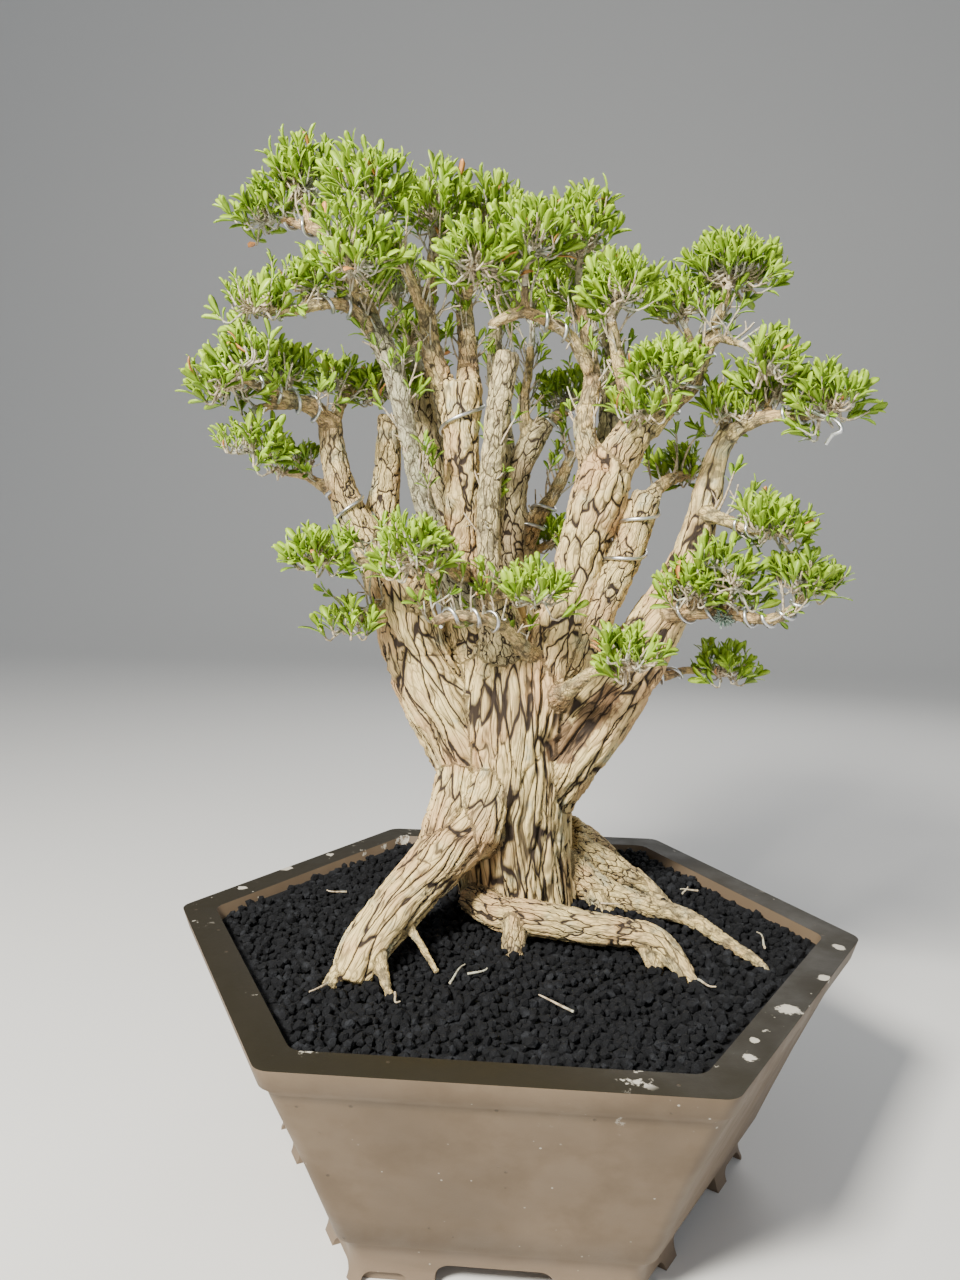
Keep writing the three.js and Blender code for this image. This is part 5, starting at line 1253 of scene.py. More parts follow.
def grow_spray(node, seed, leaves):
    """The twigs and leaves of one spray, on the branch end and the shoots of its solid."""
    points, faces = welded(NODES[node].data)
    shoots = shoots_of(points, faces)
    ends = {name: line[-1] for name, line in LINES.items()}
    limb = min(ends, key=lambda name: np.linalg.norm(points - ends[name][:3], axis=1).min())
    line = LINES[limb]
    root = line[-1]
    heading = unit(line[-1, :3] - line[-2, :3])
    growth = Growth(seed)
    random = growth.random
    middle = np.mean([shoot[0] for shoot in shoots], axis=0)
    stem_end = middle - np.array([0, 0, STEM_DROP])
    stem = growth.add_twig(root[:3] - heading, heading, stem_end, unit(stem_end - root[:3]),
                           (root[3] * 0.95, max(1.2, root[3] * 0.5)), STEM_STEPS)
    order = sorted(shoots, key=lambda shoot: np.linalg.norm(shoot[0] - root[:3]))
    leaf_length = leaves.length / MM
    for number, (centre, upright, reach) in enumerate(order):
        share = 0.35 + 0.65 * number / max(1, len(order) - 1) if len(order) > 1 else 0.6
        row = stem[min(round(share * STEM_STEPS), STEM_STEPS)]
        knee = centre - upright * KNEE_DROP
        ceiling = centre.dot(upright) + reach - SHOOT_TOP
        leaving = unit(knee - row[:3] + heading * 4)
        twig = growth.add_twig(row[:3], leaving, knee, upright, (max(1.0, row[3] * 0.8), 0.9))
        across, beside = sides_of(upright, SPRAY_GUIDE)
        # Painted light: shoots that point up are lighter, as if lit from above
        age_and_painted_light = 0.45 + 0.25 * upright[2]
        length = min(LEADER_LENGTH, reach * 0.7)
        growth.add_shoot(knee, upright, length, leaf_length, leaves.missing, ceiling, age_and_painted_light)
        satellites = leaves.shoots - 1
        for extra in range(satellites):
            turn = extra * SATELLITE_TURN + random.uniform(0, 0.7)
            outward = turned(across, beside, turn)
            out = math.sqrt((extra + 1) / satellites)
            away = SATELLITE_REACH * out * random.uniform(0.8, 1.1)
            base = knee + outward * away + upright * (random.uniform(-3, 3) - 7 * out * out)
            tilt = 0.15 + 0.35 * out + random.normal() * 0.08
            lean = unit(turned(upright, outward, tilt))
            step = twig[random.integers(1, 6)]
            leaving = unit(outward + upright * 0.3)
            growth.add_twig(step[:3], leaving, base, lean, SATELLITE_RADII, 4)
            # Painted shade: the outer, lower shoots are darker
            growth.add_shoot(base, lean, random.uniform(*SATELLITE_LENGTHS), leaf_length, leaves.missing,
                             ceiling - 1.0 - 3 * out, age_and_painted_light - 0.2 * out)
        for _ in range(BARE_SPURS):
            step = twig[random.integers(0, 6)]
            direction = unit(random.normal(size=3) + upright * 0.8)
            end = step[:3] + direction * random.uniform(*SPUR_LENGTHS)
            growth.add_twig(step[:3], direction, end, unit(direction + upright), SPUR_RADII, 3)
    return growth.mesh(node)


def grow_brush(growth, line, leaf_length):
    """Adds the fine twigs, many of them bare, along one thin branch."""
    random = growth.random
    for row, ahead, across, beside in zip(line[2:], *(rows[2:] for rows in frames_along(line))):
        if row[3] > BRUSH_GIRTH:
            continue
        turn = random.uniform(0, math.tau)
        outward = unit(turned(across, beside, turn) + ahead * 0.5 + [0, 0, 0.8])
        start = row[:3] + outward * row[3] * 0.5
        bend = unit(outward + random.normal(size=3) * 0.45 + [0, 0, 0.8])
        end = start + unit(outward + bend) * random.uniform(*BRUSH_LENGTHS)
        twig = growth.add_twig(start, outward, end, bend, BRUSH_RADII, 4)
        fork = unit(bend + random.normal(size=3) * 0.7)
        fork_end = twig[2, :3] + fork * random.uniform(*FORK_LENGTHS)
        growth.add_twig(twig[2, :3], bend, fork_end, fork, FORK_RADII, 3)
        # Painted shade: the shoots of the brush, inside the crown, are darker than those of the sprays
        if random.random() < BRUSH_IN_LEAF:
            length = random.uniform(*BRUSH_SHOOTS)
            growth.add_shoot(end, bend, length, leaf_length * 0.8, 0.3, math.inf, 0.3)
        if random.random() < BRUSH_IN_LEAF / 2:
            length = random.uniform(*FORK_SHOOTS)
            growth.add_shoot(fork_end, fork, length, leaf_length * 0.65, 0.4, math.inf, 0.2)


def strands(name, growth, sides, surface):
    """The lines of a growth as round strands."""
    mesh = plain_mesh(name, growth.points, edges=growth.edges)
    store(mesh, "thickness", growth.thickness)
    return grown(mesh, strand_tree(), {"Sides": sides, "Surface": surface})


def lichen_tuft():
    """The strands of a bushy tuft of lichen, forked once."""
    growth = Growth(TUFT_SEED)
    random = growth.random
    for _ in range(TUFT_STRANDS):
        heading = unit(random.normal(size=3) + [0, -0.3, 0.1])
        start = np.array(TUFT_PLACE) + heading * 2.0
        end = TUFT_PLACE + heading * TUFT_RADIUS * random.uniform(0.6, 1.0)
        bend = unit(heading + random.normal(size=3) * 0.6)
        strand = growth.add_twig(start, heading, end, bend, TUFT_RADII, 3)
        fork = unit(heading + random.normal(size=3) * 0.8)
        fork_start = strand[1, :3]
        fork_end = fork_start + fork * TUFT_FORK_LENGTH
        growth.add_twig(fork_start, fork, fork_end, fork, TUFT_FORK_RADII, 2)
    return growth


class BONSAI_OT_sprays(bpy.types.Operator):
    """Grow the leaves and fine twigs of every spray"""

    bl_idname = "bonsai.sprays"
    bl_label = "Sprays"

    def execute(self, context):
        leaves = context.scene.bonsai_leaves
        tree = spray_tree()
        values = {"Leaf": leaf_form(leaves), "Leaf Surface": leaf_material(leaves),
                  "Twig Bark": twig_material(leaves), "Twig Sides": TWIG_SIDES}
        for number, node in enumerate(SPRAYS):
            mesh = grown(grow_spray(node, SPRAY_SEED + number, leaves), tree, values)
            new_piece(node.replace("spray_", "leaves_"), mesh, "leaf", node)
        for side, name in ((-1, "twigs_left"), (1, "twigs_right")):
            growth = Growth(BRUSH_SEED + side)
            for line in LINES.values():
                if line[-1, 2] > SPLIT_HEIGHT and side * (line[-1, 0] + 1) > 0:
                    grow_brush(growth, line, leaves.length / MM)
            new_piece(name, grown(growth.mesh(name), tree, values), "leaf")
        bpy.data.objects.remove(values["Leaf"])
        surface = lichen_material(context.scene.bonsai_wood)
        new_piece("lichen_tuft", strands("lichen_tuft", lichen_tuft(), TUFT_SIDES, surface), "bark")
        return {"FINISHED"}


# Wire


def strand_tree():
    """Makes one round strand along a mesh's edges."""
    tree, given, result = geometry_tree("Round Wire", [("Sides", "Int"), ("Surface", "Material")])
    feed(tree, result, strand_nodes(tree, given["Geometry"], given["Sides"], given["Surface"]))
    return tree


def wire_material():
    """Dull drawn aluminium"""
    material, tree, shader = new_material("aluminium_wire", roughness=0.34, metallic=1.0)
    place = object_place(tree)
    dull = noise(tree, place, 180.0, 3.0)
    colour = blend(tree, dull, DULL_WIRE, BRIGHT_WIRE)
    tree.links.new(ramp(tree, dull, 0.3, 0.7, 0.28, 0.48), shader.inputs["Roughness"])
    coat(tree, shader, colour, dull, 0.0002, 0.3)
    return material


def wound_line(line, steps, turns, radius):
    """A line wound on a branch: how far along it and at what angle each of its points lies."""
    along, across, beside = frames_along(line)
    arc = lengths_along(line)
    number = np.clip(np.searchsorted(arc, steps), 0, len(arc) - 1)
    turn = turns[:, None]
    reach = (line[number, 3] + WOOD_SWELLING + radius * WIRE_REACH)[:, None]
    centre = line[number, :3] + (steps - arc[number])[:, None] * along[number]
    return centre + reach * (across[number] * np.cos(turn) + beside[number] * np.sin(turn))


def wire_line(node, radius):
    """The middle line of a wire, read from its solid's turns round the branch."""
    points, _ = welded(NODES[node].data)
    middle = points.mean(0)
    limb = min(LINES, key=lambda name: np.linalg.norm(LINES[name][:, :3] - middle, axis=1).min())
    line = smooth_line(WOOD[limb], WIRE_STEP)
    along, across, beside = frames_along(line)
    arc = lengths_along(line)
    nearest = np.linalg.norm(points[:, None] - line[None, :, :3], axis=2).argmin(1)
    away = points - line[nearest, :3]
    place = arc[nearest] + (away * along[nearest]).sum(1)
    wound = (place < arc[-1] - BRANCH_ENDS) & (place > BRANCH_ENDS)
    order = np.argsort(place[wound])
    place = place[wound][order]
    angle = np.arctan2((away * beside[nearest]).sum(1), (away * across[nearest]).sum(1))
    turns = np.polyfit(place, np.unwrap(angle[wound][order]), 1)
    steps = np.arange(place[0], place[-1], WIRE_STEP)
    helix = wound_line(line, steps, np.polyval(turns, steps), radius)
    if limb == HOOKED_LIMB:
        hook = [helix[-1] + forward * along[-1] + (0, y, z) for forward, y, z in WIRE_HOOK]
        rows = np.vstack([helix[-1], hook])
        curl = smooth_line(np.hstack([rows, np.ones((len(rows), 1))]), 1.5)
        helix = np.vstack([helix, curl[1:, :3]])
    return helix


class BONSAI_OT_wire(bpy.types.Operator):
    """Wind the training wire round its branches"""

    bl_idname = "bonsai.wire"
    bl_label = "Training Wire"

    def execute(self, context):
        wire = context.scene.bonsai_wire
        tree = strand_tree()
        values = {"Sides": wire.sides, "Surface": wire_material()}
        for node in WIRES:
            line = wire_line(node, wire.radius / MM)
            mesh = self.strand(node, line, wire.radius, tree, values)
            new_piece(node.replace("wire_", "training_wire_"), mesh, "aluminium_wire", node)
        for limb, (start, end, pitch, first) in LONG_WIRES.items():
            steps = np.arange(start, end, WIRE_STEP)
            turns = first + (steps - start) * math.tau / pitch
            line = wound_line(smooth_line(WOOD[limb], WIRE_STEP), steps, turns, wire.radius / MM)
            mesh = self.strand(limb, line, wire.radius, tree, values)
            new_piece(f"long_wire_{limb}", mesh, "aluminium_wire")
        return {"FINISHED"}

    def strand(self, name, line, radius, tree, values):
        """A round strand along a line."""
        edges = [(step, step + 1) for step in range(len(line) - 1)]
        mesh = plain_mesh(name, line, edges=edges)
        store(mesh, "thickness", np.full(len(line), radius))
        return grown(mesh, tree, values)


# Pot


def hexagon_ring(radius, height):
    """One six-sided ring with rounded corners."""
    reach = radius - CORNER_ROUNDING / math.cos(math.pi / 6)
    ring = []
    for corner in range(6):
        towards = corner * math.pi / 3
        for step in range(CORNER_STEPS + 1):
            turn = towards + (step / CORNER_STEPS - 0.5) * math.pi / 3
            ring.append((reach * math.cos(towards) + CORNER_ROUNDING * math.cos(turn),
                         reach * math.sin(towards) + CORNER_ROUNDING * math.sin(turn), height))
    return ring


def hexagon_loft(profile):
    """Points and faces of a six-sided form through the profile's rings."""
    rings = [hexagon_ring(radius, height) for radius, height in profile]
    count = len(rings[0])
    faces = []
    for ring in range(len(rings) - 1):
        for side in range(count):
            here = ring * count + side
            beside = ring * count + (side + 1) % count
            faces.append([here, beside, beside + count, here + count])
    faces.append(list(range(count))[::-1])
    faces.append([(len(rings) - 1) * count + side for side in range(count)])
    return np.array([point for ring in rings for point in ring]), faces


def foot_cut(cut, side):
    """Points and faces of the block that cuts the foot under one side."""
    half = cut["width"] / 2
    top = cut["height"]
    rounding = cut["rounding"]
    outline = [(-half, -top), (half, -top)]
    for centre, start in ((half - rounding, 0), (rounding - half, 90)):
        for step in range(7):
            turn = math.radians(start + step * 15)
            outline.append((centre + rounding * math.cos(turn), top - rounding + rounding * math.sin(turn)))
    turn = side * math.pi / 3
    points = []
    for depth in (cut["start"], cut["start"] + FOOT_CUT_DEPTH):
        for x, z in outline:
            x += cut["offset"]
            points.append((x * math.cos(turn) + depth * math.sin(turn),
                           x * math.sin(turn) - depth * math.cos(turn), z))
    count = len(outline)
    faces = [list(range(count)), [count + index for index in range(count)][::-1]]
    for index in range(count):
        beside = (index + 1) % count
        faces.append([index, index + count, beside + count, beside])
    return np.array(points), faces


def drain_hole(number):
    """Points and faces of the rod that cuts one drain hole."""
    towards = math.pi / 2 + number * 2 * math.pi / 3
    x = DRAIN_HOLE_DISTANCE * math.cos(towards)
    y = DRAIN_HOLE_DISTANCE * math.sin(towards)
    line = [[x, y, z, DRAIN_HOLE_RADIUS] for z in DRAIN_HOLE_ENDS]
    return tube(np.array(line, float), DRAIN_HOLE_SIDES)


def outward(mesh):
    """Turns a closed mesh's faces outwards."""
    with editing(mesh) as work:
        bmesh.ops.remove_doubles(work, verts=work.verts[:], dist=1e-6)
        bmesh.ops.recalc_face_normals(work, faces=work.faces[:])
    return mesh


def clay_material(pot):
    """Unglazed clay: mottled body, painted shade on the rim's top, lime marks, pits and a paler foot"""
    material, tree, shader = new_material("clay", roughness=0.6)
    shader.inputs["Specular IOR Level"].default_value = 0.28
    place = object_place(tree)
    spot = add_node(tree, "ShaderNodeSeparateXYZ", {0: place}).outputs
    broad = noise(tree, place, 9.0, 4.0)
    cloud = noise(tree, place, 34.0, 5.0)
    grain = noise(tree, place, 900.0, 3.0)
    body = blend(tree, ramp(tree, broad, 0.35, 0.7), opaque(pot.clay), PALE_CLAY)
    body = blend(tree, ramp(tree, cloud, 0.45, 0.75, 0.0, 0.5), body, DARK_CLAY)
    # Painted shade: faces that look up at the lip's height are darkened to the rim colour
    normal = add_node(tree, "ShaderNodeNewGeometry").outputs["Normal"]
    facing = add_node(tree, "ShaderNodeSeparateXYZ", {0: normal}).outputs[2]
    painted_top_shade = calc(tree, "MULTIPLY", ramp(tree, facing, 0.6, 0.9), ramp(tree, spot[2], 0.148, 0.152))
    body = blend(tree, painted_top_shade, body, opaque(pot.rim))
    foot = ramp(tree, spot[2], 0.034, 0.026, 0.0, 0.35)
    body = blend(tree, foot, body, FOOT_CLAY)
    marks = noise(tree, place, 55.0, 6.0, 0.7)
    zone = noise(tree, place, 14.0, 1.0)
    near_rim = ramp(tree, spot[2], 0.12, 0.15)
    lime = calc(tree, "MULTIPLY", ramp(tree, marks, 0.61, 0.65), ramp(tree, zone, 0.5, 0.6))
    lime = calc(tree, "MULTIPLY", lime, near_rim)
    for x, y, size in LIME_SPOTS:
        gap = calc_vector(tree, "SUBTRACT", place, (x * MM, y * MM, LIP_TOP * MM))
        gap = add_node(tree, "ShaderNodeVectorMath", {0: gap}, operation="LENGTH").outputs["Value"]
        ragged = calc(tree, "MULTIPLY_ADD", marks, size * 3.4 * MM, gap)
        lime = calc(tree, "MAXIMUM", lime, ramp(tree, ragged, size * 2.4 * MM, size * 2.25 * MM))
    specks = add_node(tree, "ShaderNodeTexVoronoi", {"Vector": place, "Scale": 130.0}).outputs["Distance"]
    speck_zone = noise(tree, place, 40.0, 2.0)
    fine = calc(tree, "MULTIPLY", ramp(tree, specks, 0.1, 0.06), ramp(tree, speck_zone, 0.5, 0.55))
    lime = calc(tree, "MAXIMUM", lime, calc(tree, "MULTIPLY", fine, 0.7))
    colour = blend(tree, lime, body, opaque(pot.lime))
    pits = add_node(tree, "ShaderNodeTexVoronoi", {"Vector": place, "Scale": 95.0}).outputs["Distance"]
    pit = calc(tree, "MULTIPLY", ramp(tree, pits, 0.12, 0.07), ramp(tree, speck_zone, 0.46, 0.42))
    colour = blend(tree, calc(tree, "MULTIPLY", pit, 0.7), colour, CLAY_PITS)
    tree.links.new(ramp(tree, cloud, 0.3, 0.7, 0.5, 0.68), shader.inputs["Roughness"])
    height = calc(tree, "MULTIPLY_ADD", grain, 0.25, calc(tree, "MULTIPLY", pit, -1.0))
    height = calc(tree, "MULTIPLY_ADD", lime, 0.5, height)
    coat(tree, shader, colour, calc(tree, "ADD", height, cloud), 0.0005, 0.5)
    return material


class BONSAI_OT_pot(bpy.types.Operator):
    """Make the six-sided clay pot with its lip, foot and drain holes"""

    bl_idname = "bonsai.pot"
    bl_label = "Clay Pot"

    def execute(self, context):
        pot = context.scene.bonsai_pot
        cutters = [hexagon_loft(POT_INSIDE), hexagon_loft(FOOT_RECESS)]
        for side in range(6):
            cutters.append(foot_cut(FOOT_ARCH, side))
            cutters.append(foot_cut(FOOT_SCALLOP, side))
            cutters.append(foot_cut({**FOOT_SCALLOP, "offset": -FOOT_SCALLOP["offset"]}, side))
        cutters += [drain_hole(number) for number in range(3)]
        objects = []
        modifiers = []
        for number, cutter in enumerate(cutters):
            tool = new_object(f"cutter_{number}", outward(plain_mesh("cutter", *cutter)))
            objects.append(tool)
            modifiers.append(("BOOLEAN", {"operation": "DIFFERENCE", "solver": "EXACT", "object": tool}))
        modifiers.append(("BEVEL", {
            "width": pot.edge, "segments": EDGE_SEGMENTS, "limit_method": "ANGLE",
            "angle_limit": math.radians(EDGE_ANGLE), "harden_normals": False, "use_clamp_overlap": True}))
        mesh = grown(outward(plain_mesh("pot_body", *hexagon_loft(POT_OUTSIDE))), modifiers=modifiers)
        for tool in objects:
            bpy.data.objects.remove(tool)
        shade_smooth(mesh)
        mesh.set_sharp_from_angle(angle=math.radians(SHARP_ANGLE))
        new_piece("clay_pot", mesh, "clay", "pot", material=clay_material(pot))
        return {"FINISHED"}


# Soil


def soil_height(x, y):
    from_trunk = ((x - TRUNK_SPOT[0]) ** 2 + (y - TRUNK_SPOT[1]) ** 2) / SOIL_MOUND_RADIUS ** 2
    return SOIL_LEVEL + SOIL_MOUND * math.exp(-from_trunk)


def soil_top():
    """The soil's top as a fine sheet inside the pot's wall, open where roots go in."""
    reach = int(SOIL_CORNER // SHEET_PITCH)
    number = {}
    points = []
    for a in range(-reach, reach + 1):
        for b in range(-reach, reach + 1):
            if max(abs(a), abs(b), abs(a + b)) <= reach:
                x = SHEET_PITCH * (a + b / 2)
                y = SHEET_PITCH * b * math.sin(math.pi / 3)
                number[a, b] = len(points)
                points.append((x, y, soil_height(x, y)))
    faces = []
    for a, b in number:
        if (a + 1, b) in number and (a, b + 1) in number:
            faces.append([number[a, b], number[a + 1, b], number[a, b + 1]])
        if (a + 1, b) in number and (a + 1, b - 1) in number:
            faces.append([number[a, b], number[a + 1, b - 1], number[a + 1, b]])
    centres = np.array(points)[np.array(faces)].mean(1)
    wood = np.vstack(list(LINES.values()))
    wood = wood[wood[:, 2] < ROOT_TOP]
    gaps = np.linalg.norm(centres[:, None] - wood[None, :, :3], axis=2) - wood[None, :, 3]
    free = gaps.min(1) > ROOT_ROOM
    return plain_mesh("soil_top", points, [face for face, is_free in zip(faces, free) if is_free])


def grain_forms():
    """A few angular grains of unit width."""
    random = np.random.default_rng(GRAIN_SEED)
    forms = []
    for number in range(GRAIN_FORMS):
        mesh = bpy.data.meshes.new(f"grain_{number}")
        with editing(mesh) as work:
            bmesh.ops.create_icosphere(work, subdivisions=1, radius=0.5)
            stretch = random.uniform(*GRAIN_STRETCH, 3)
            for vertex in work.verts:
                vertex.co *= random.uniform(*GRAIN_DENTS)
                vertex.co = [value * factor for value, factor in zip(vertex.co, stretch)]
        forms.append(new_object(f"grain_{number}", mesh))
    return forms


def gravel_tree(forms):
    """Strews grains over a sheet, each turned and sized by chance."""
    labels = [(f"Grain {number + 1}", "Object") for number in range(len(forms))]
    tree, given, result = geometry_tree("Strewn Gravel", [
        ("Spacing", "Float"), ("Grain Size", "Float"), ("Seed", "Int"), ("Lava", "Material"), *labels])
    strewn = add_node(tree, "GeometryNodeDistributePointsOnFaces", {
        "Mesh": given["Geometry"], "Distance Min": given["Spacing"], "Density Max": GRAIN_DENSITY,
        "Density Factor": 1.0, "Seed": given["Seed"]}, distribute_method="POISSON")
    choice = add_node(tree, "GeometryNodeJoinGeometry")
    for label, _ in reversed(labels):
        grain = add_node(tree, "GeometryNodeObjectInfo", {"Object": given[label], "As Instance": True})
        tree.links.new(grain.outputs["Geometry"], choice.inputs[0])
    draw = "FunctionNodeRandomValue"
    turns = {1: (math.tau, math.tau, math.tau), "Seed": 5}
    turn = add_node(tree, draw, turns, data_type="FLOAT_VECTOR").outputs[0]
    sizes = {2: GRAIN_SIZES[0], 3: GRAIN_SIZES[1], "Seed": 6}
    share = add_node(tree, draw, sizes, data_type="FLOAT").outputs[1]
    pick = add_node(tree, draw, {4: 0, 5: len(forms) - 1, "Seed": 7}, data_type="INT").outputs[2]
    levels = {2: -GRAIN_SINK * MM, 3: GRAIN_RISE * MM, "Seed": 8}
    sink = add_node(tree, draw, levels, data_type="FLOAT").outputs[1]
    offset = add_node(tree, "ShaderNodeCombineXYZ", {2: sink}).outputs[0]
    lowered = add_node(tree, "GeometryNodeSetPosition", {
        "Geometry": strewn.outputs["Points"], "Offset": offset})
    grain_scale = calc(tree, "MULTIPLY", share, given["Grain Size"])
    grains = add_node(tree, "GeometryNodeInstanceOnPoints", {
        "Points": lowered.outputs[0], "Instance": choice.outputs[0], "Pick Instance": True,
        "Instance Index": pick, "Rotation": turn, "Scale": grain_scale})
    solid = add_node(tree, "GeometryNodeRealizeInstances", {"Geometry": grains.outputs[0]})
    feed(tree, result, with_material(tree, solid.outputs[0], given["Lava"]))
    return tree


def gravel_material(gravel):
    """Black lava with a little grey and brown dust and fine pores"""
    material, tree, shader = new_material("gravel", roughness=0.9)
    place = object_place(tree)
    pores = noise(tree, place, 900.0, 4.0)
    dust = noise(tree, place, 120.0, 3.0)
    dusty = ramp(tree, dust, 0.5, 0.75, 0.0, 0.8)
    colour = blend(tree, dusty, opaque(gravel.colour), LAVA_DUST)
    colour = blend(tree, ramp(tree, pores, 0.62, 0.78, 0.0, 0.7), colour, LAVA_PORES)
    shader.inputs["Specular IOR Level"].default_value = 0.2
    coat(tree, shader, colour, pores, 0.0012, 0.9)
    return material


def soil_bed():
    """A copy of the CAD soil, merged, with its top sunk under the grains."""
    mesh = NODES["soil"].data.copy()
    with editing(mesh) as work:
        bmesh.ops.remove_doubles(work, verts=work.verts[:], dist=1e-5)
        for vertex in work.verts:
            if vertex.co.z > (SOIL_LEVEL - 10) * MM:
                vertex.co.z -= GRAIN_SINK * MM
    mesh.materials.clear()
    return mesh


def as_one(meshes, name):
    """Joins meshes of one material into one."""
    whole = bpy.data.meshes.new(name)
    with editing(whole) as work:
        for mesh in meshes:
            work.from_mesh(mesh)
    return whole


class BONSAI_OT_soil(bpy.types.Operator):
    """Fill the pot with black lava gravel"""

    bl_idname = "bonsai.soil"
    bl_label = "Gravel"

    def execute(self, context):
        gravel = context.scene.bonsai_gravel
        forms = grain_forms()
        surface = gravel_material(gravel)
        values = {"Spacing": gravel.spacing, "Grain Size": gravel.grain, "Seed": 3, "Lava": surface}
        values.update({f"Grain {number + 1}": form for number, form in enumerate(forms)})
        grains = grown(soil_top(), gravel_tree(forms), values)
        for form in forms:
            bpy.data.objects.remove(form)
        bed = as_one([soil_bed(), grains], "lava_gravel")
        new_piece("lava_gravel", bed, "gravel", "soil", material=surface)
        growth = Growth(ROOTLET_SEED)
        for x, y, towards, length in ROOTLETS:
            lift = growth.random.uniform(*ROOTLET_LIFTS)
            start = np.array([x, y, soil_height(x, y) + lift])
            heading = np.array([math.cos(math.radians(towards)), math.sin(math.radians(towards)), 0.1])
            arriving = unit(heading + growth.random.normal(size=3) * [1.4, 1.4, 0.1])
            end = start + heading * length + [0, 0, 1.0]
            growth.add_twig(start, heading, end, arriving, ROOTLET_RADII, 7)
        surface = bpy.data.materials.get("twig") or twig_material(context.scene.bonsai_leaves)
        new_piece("rootlets", strands("rootlets", growth, ROOTLET_SIDES, surface), "bark")
        return {"FINISHED"}


class BONSAI_OT_screens(bpy.types.Operator):
    """Give the drain screens their woven plastic"""

    bl_idname = "bonsai.screens"
    bl_label = "Drain Screens"

    def execute(self, context):
        material, tree, shader = new_material("plastic_mesh", roughness=0.5)
        place = object_place(tree)
        weave = add_node(tree, "ShaderNodeTexWave", {"Vector": place, "Scale": 220.0, "Distortion": 0.5})
        colour = blend(tree, weave.outputs["Fac"], SCREEN_DARK, SCREEN_PALE)
        coat(tree, shader, colour, weave.outputs["Fac"], 0.0003, 0.6)
        for name in SCREENS:
            NODES[name].data.materials.clear()
            NODES[name].data.materials.append(material)
        return {"FINISHED"}


# Stage


def look_matrix():
    """The camera's place and turn."""
    forward = np.array([math.sin(CAMERA_YAW) * math.cos(CAMERA_PITCH),
                        math.cos(CAMERA_YAW) * math.cos(CAMERA_PITCH), -math.sin(CAMERA_PITCH)])
    right = np.array([math.cos(CAMERA_YAW), -math.sin(CAMERA_YAW), 0.0])
    up = np.cross(right, forward)
    cosine = math.cos(CAMERA_ROLL)
    sine = math.sin(CAMERA_ROLL)
    right, up = cosine * right + sine * up, cosine * up - sine * right
    columns = np.column_stack([right, up, -forward, np.array(CAMERA_PLACE) * MM])
    return Matrix([*columns.tolist(), [0, 0, 0, 1]])


def soft_light(name, place, aim, size, power, colour):
    """A large square lamp that looks at a point."""
    lamp = bpy.data.lights.new(name, "AREA")
    lamp.shape = "SQUARE"
    lamp.size = size
    lamp.energy = power
    lamp.color = colour
    holder = new_object(name, lamp)
    back = unit(np.array(place, float) - np.array(aim, float))
    right = unit(np.cross([0, 0, 1], back))
    columns = np.column_stack([right, np.cross(back, right), back, place])
    holder.matrix_world = Matrix([*columns.tolist(), [0, 0, 0, 1]])


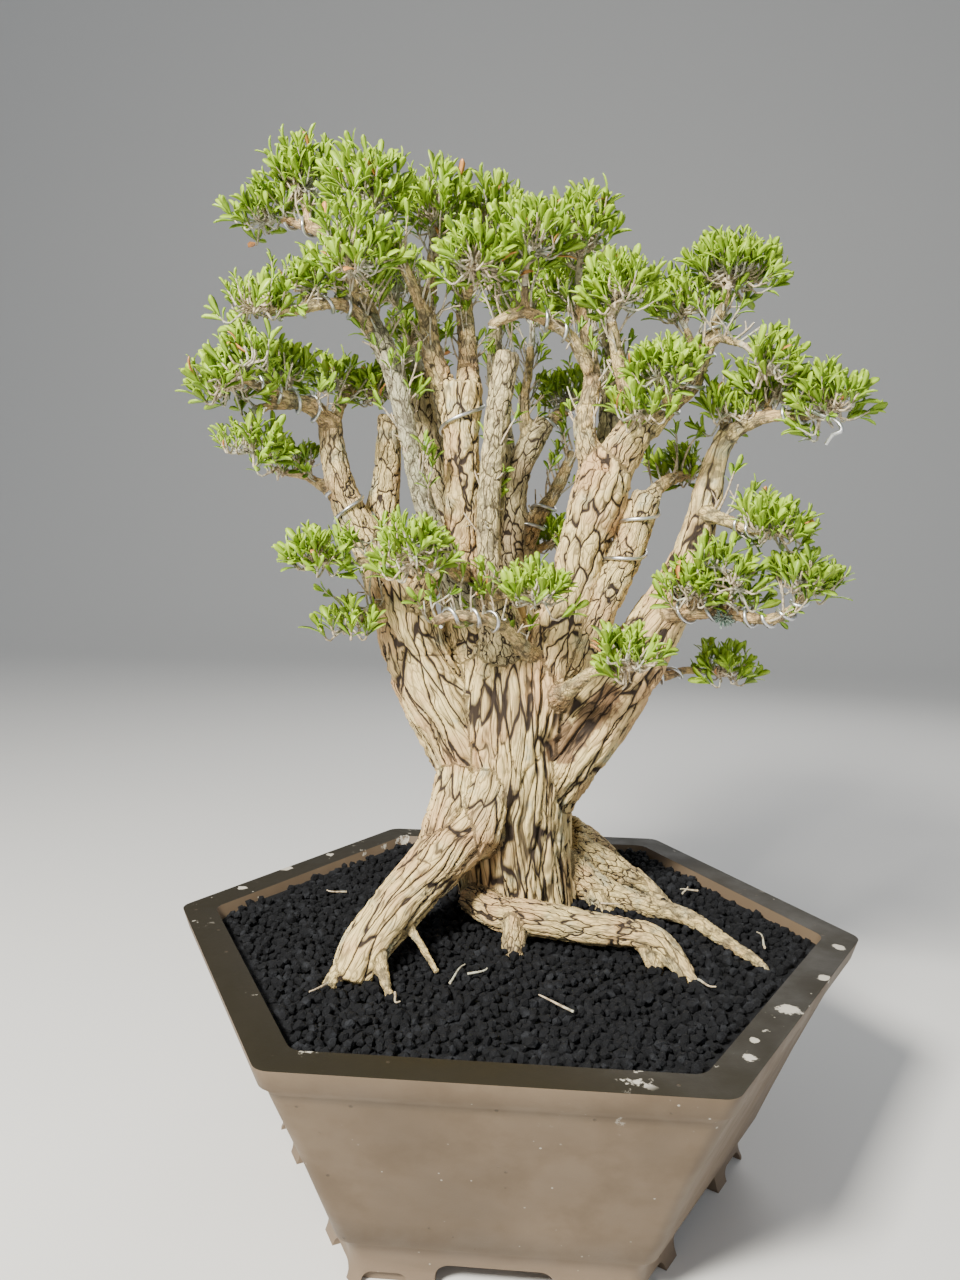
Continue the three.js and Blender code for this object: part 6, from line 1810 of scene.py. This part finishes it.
class BONSAI_OT_stage(bpy.types.Operator):
    """Set the pale floor, the soft lights and the camera"""

    bl_idname = "bonsai.stage"
    bl_label = "Stage"

    def execute(self, context):
        scene = context.scene
        profile = [(-FLOOR_HALF, 0.0)]
        for step in range(FLOOR_BEND_STEPS + 1):
            turn = math.pi / 2 * step / FLOOR_BEND_STEPS
            y = FLOOR_BEND_START + FLOOR_BEND * math.sin(turn)
            z = FLOOR_BEND - FLOOR_BEND * math.cos(turn)
            profile.append((y, z))
        profile.append((FLOOR_BEND_START + FLOOR_BEND, FLOOR_HALF))
        points = [(side, y, z) for y, z in profile for side in (-FLOOR_HALF, FLOOR_HALF)]
        faces = [(row, row + 1, row + 3, row + 2) for row in range(0, len(points) - 2, 2)]
        mesh = bpy.data.meshes.new("floor")
        mesh.from_pydata(points, [], faces)
        shade_smooth(mesh)
        floor = new_object("floor", mesh)
        material, _, shader = new_material("floor", roughness=0.8)
        shader.inputs["Base Color"].default_value = FLOOR_COLOUR
        mesh.materials.append(material)
        world = bpy.data.worlds.new("studio")
        world.use_nodes = True
        sky = world.node_tree.nodes["Background"]
        sky.inputs["Color"].default_value = SKY_COLOUR
        sky.inputs["Strength"].default_value = SKY_STRENGTH
        scene.world = world
        for lamp in LAMPS:
            soft_light(*lamp)
        camera = bpy.data.cameras.new("camera")
        camera.lens = CAMERA_LENS
        camera.clip_start = CAMERA_NEAR
        holder = new_object("camera", camera)
        holder.matrix_world = look_matrix()
        scene.camera = holder
        return {"FINISHED"}


# Panel and registration


STEPS = (BONSAI_OT_wood, BONSAI_OT_sprays, BONSAI_OT_wire, BONSAI_OT_pot, BONSAI_OT_soil, BONSAI_OT_screens,
         BONSAI_OT_stage)


class BONSAI_PT_panel(bpy.types.Panel):
    """Lists what makes each piece of the bonsai"""

    bl_idname = "BONSAI_PT_panel"
    bl_label = "Boxwood Bonsai"
    bl_space_type = "VIEW_3D"
    bl_region_type = "UI"
    bl_category = "Bonsai"

    def draw(self, context):
        for step in STEPS:
            self.layout.operator(step.bl_idname)
        for name, group in SETTINGS.items():
            box = self.layout.box()
            box.label(text=group.__doc__)
            for setting in group.__annotations__:
                box.prop(getattr(context.scene, name), setting)


def register():
    for group in SETTINGS.values():
        bpy.utils.register_class(group)
    for step in STEPS:
        bpy.utils.register_class(step)
    bpy.utils.register_class(BONSAI_PT_panel)
    for name, group in SETTINGS.items():
        setattr(bpy.types.Scene, name, bpy.props.PointerProperty(type=group))


def unregister():
    for name in SETTINGS:
        delattr(bpy.types.Scene, name)
    bpy.utils.unregister_class(BONSAI_PT_panel)
    for step in reversed(STEPS):
        bpy.utils.unregister_class(step)
    for group in reversed(SETTINGS.values()):
        bpy.utils.unregister_class(group)


def main():
    register()
    bpy.ops.bonsai.wood()
    bpy.ops.bonsai.sprays()
    bpy.ops.bonsai.wire()
    bpy.ops.bonsai.pot()
    bpy.ops.bonsai.soil()
    bpy.ops.bonsai.screens()
    bpy.ops.bonsai.stage()


if __name__ == "__main__":
    main()
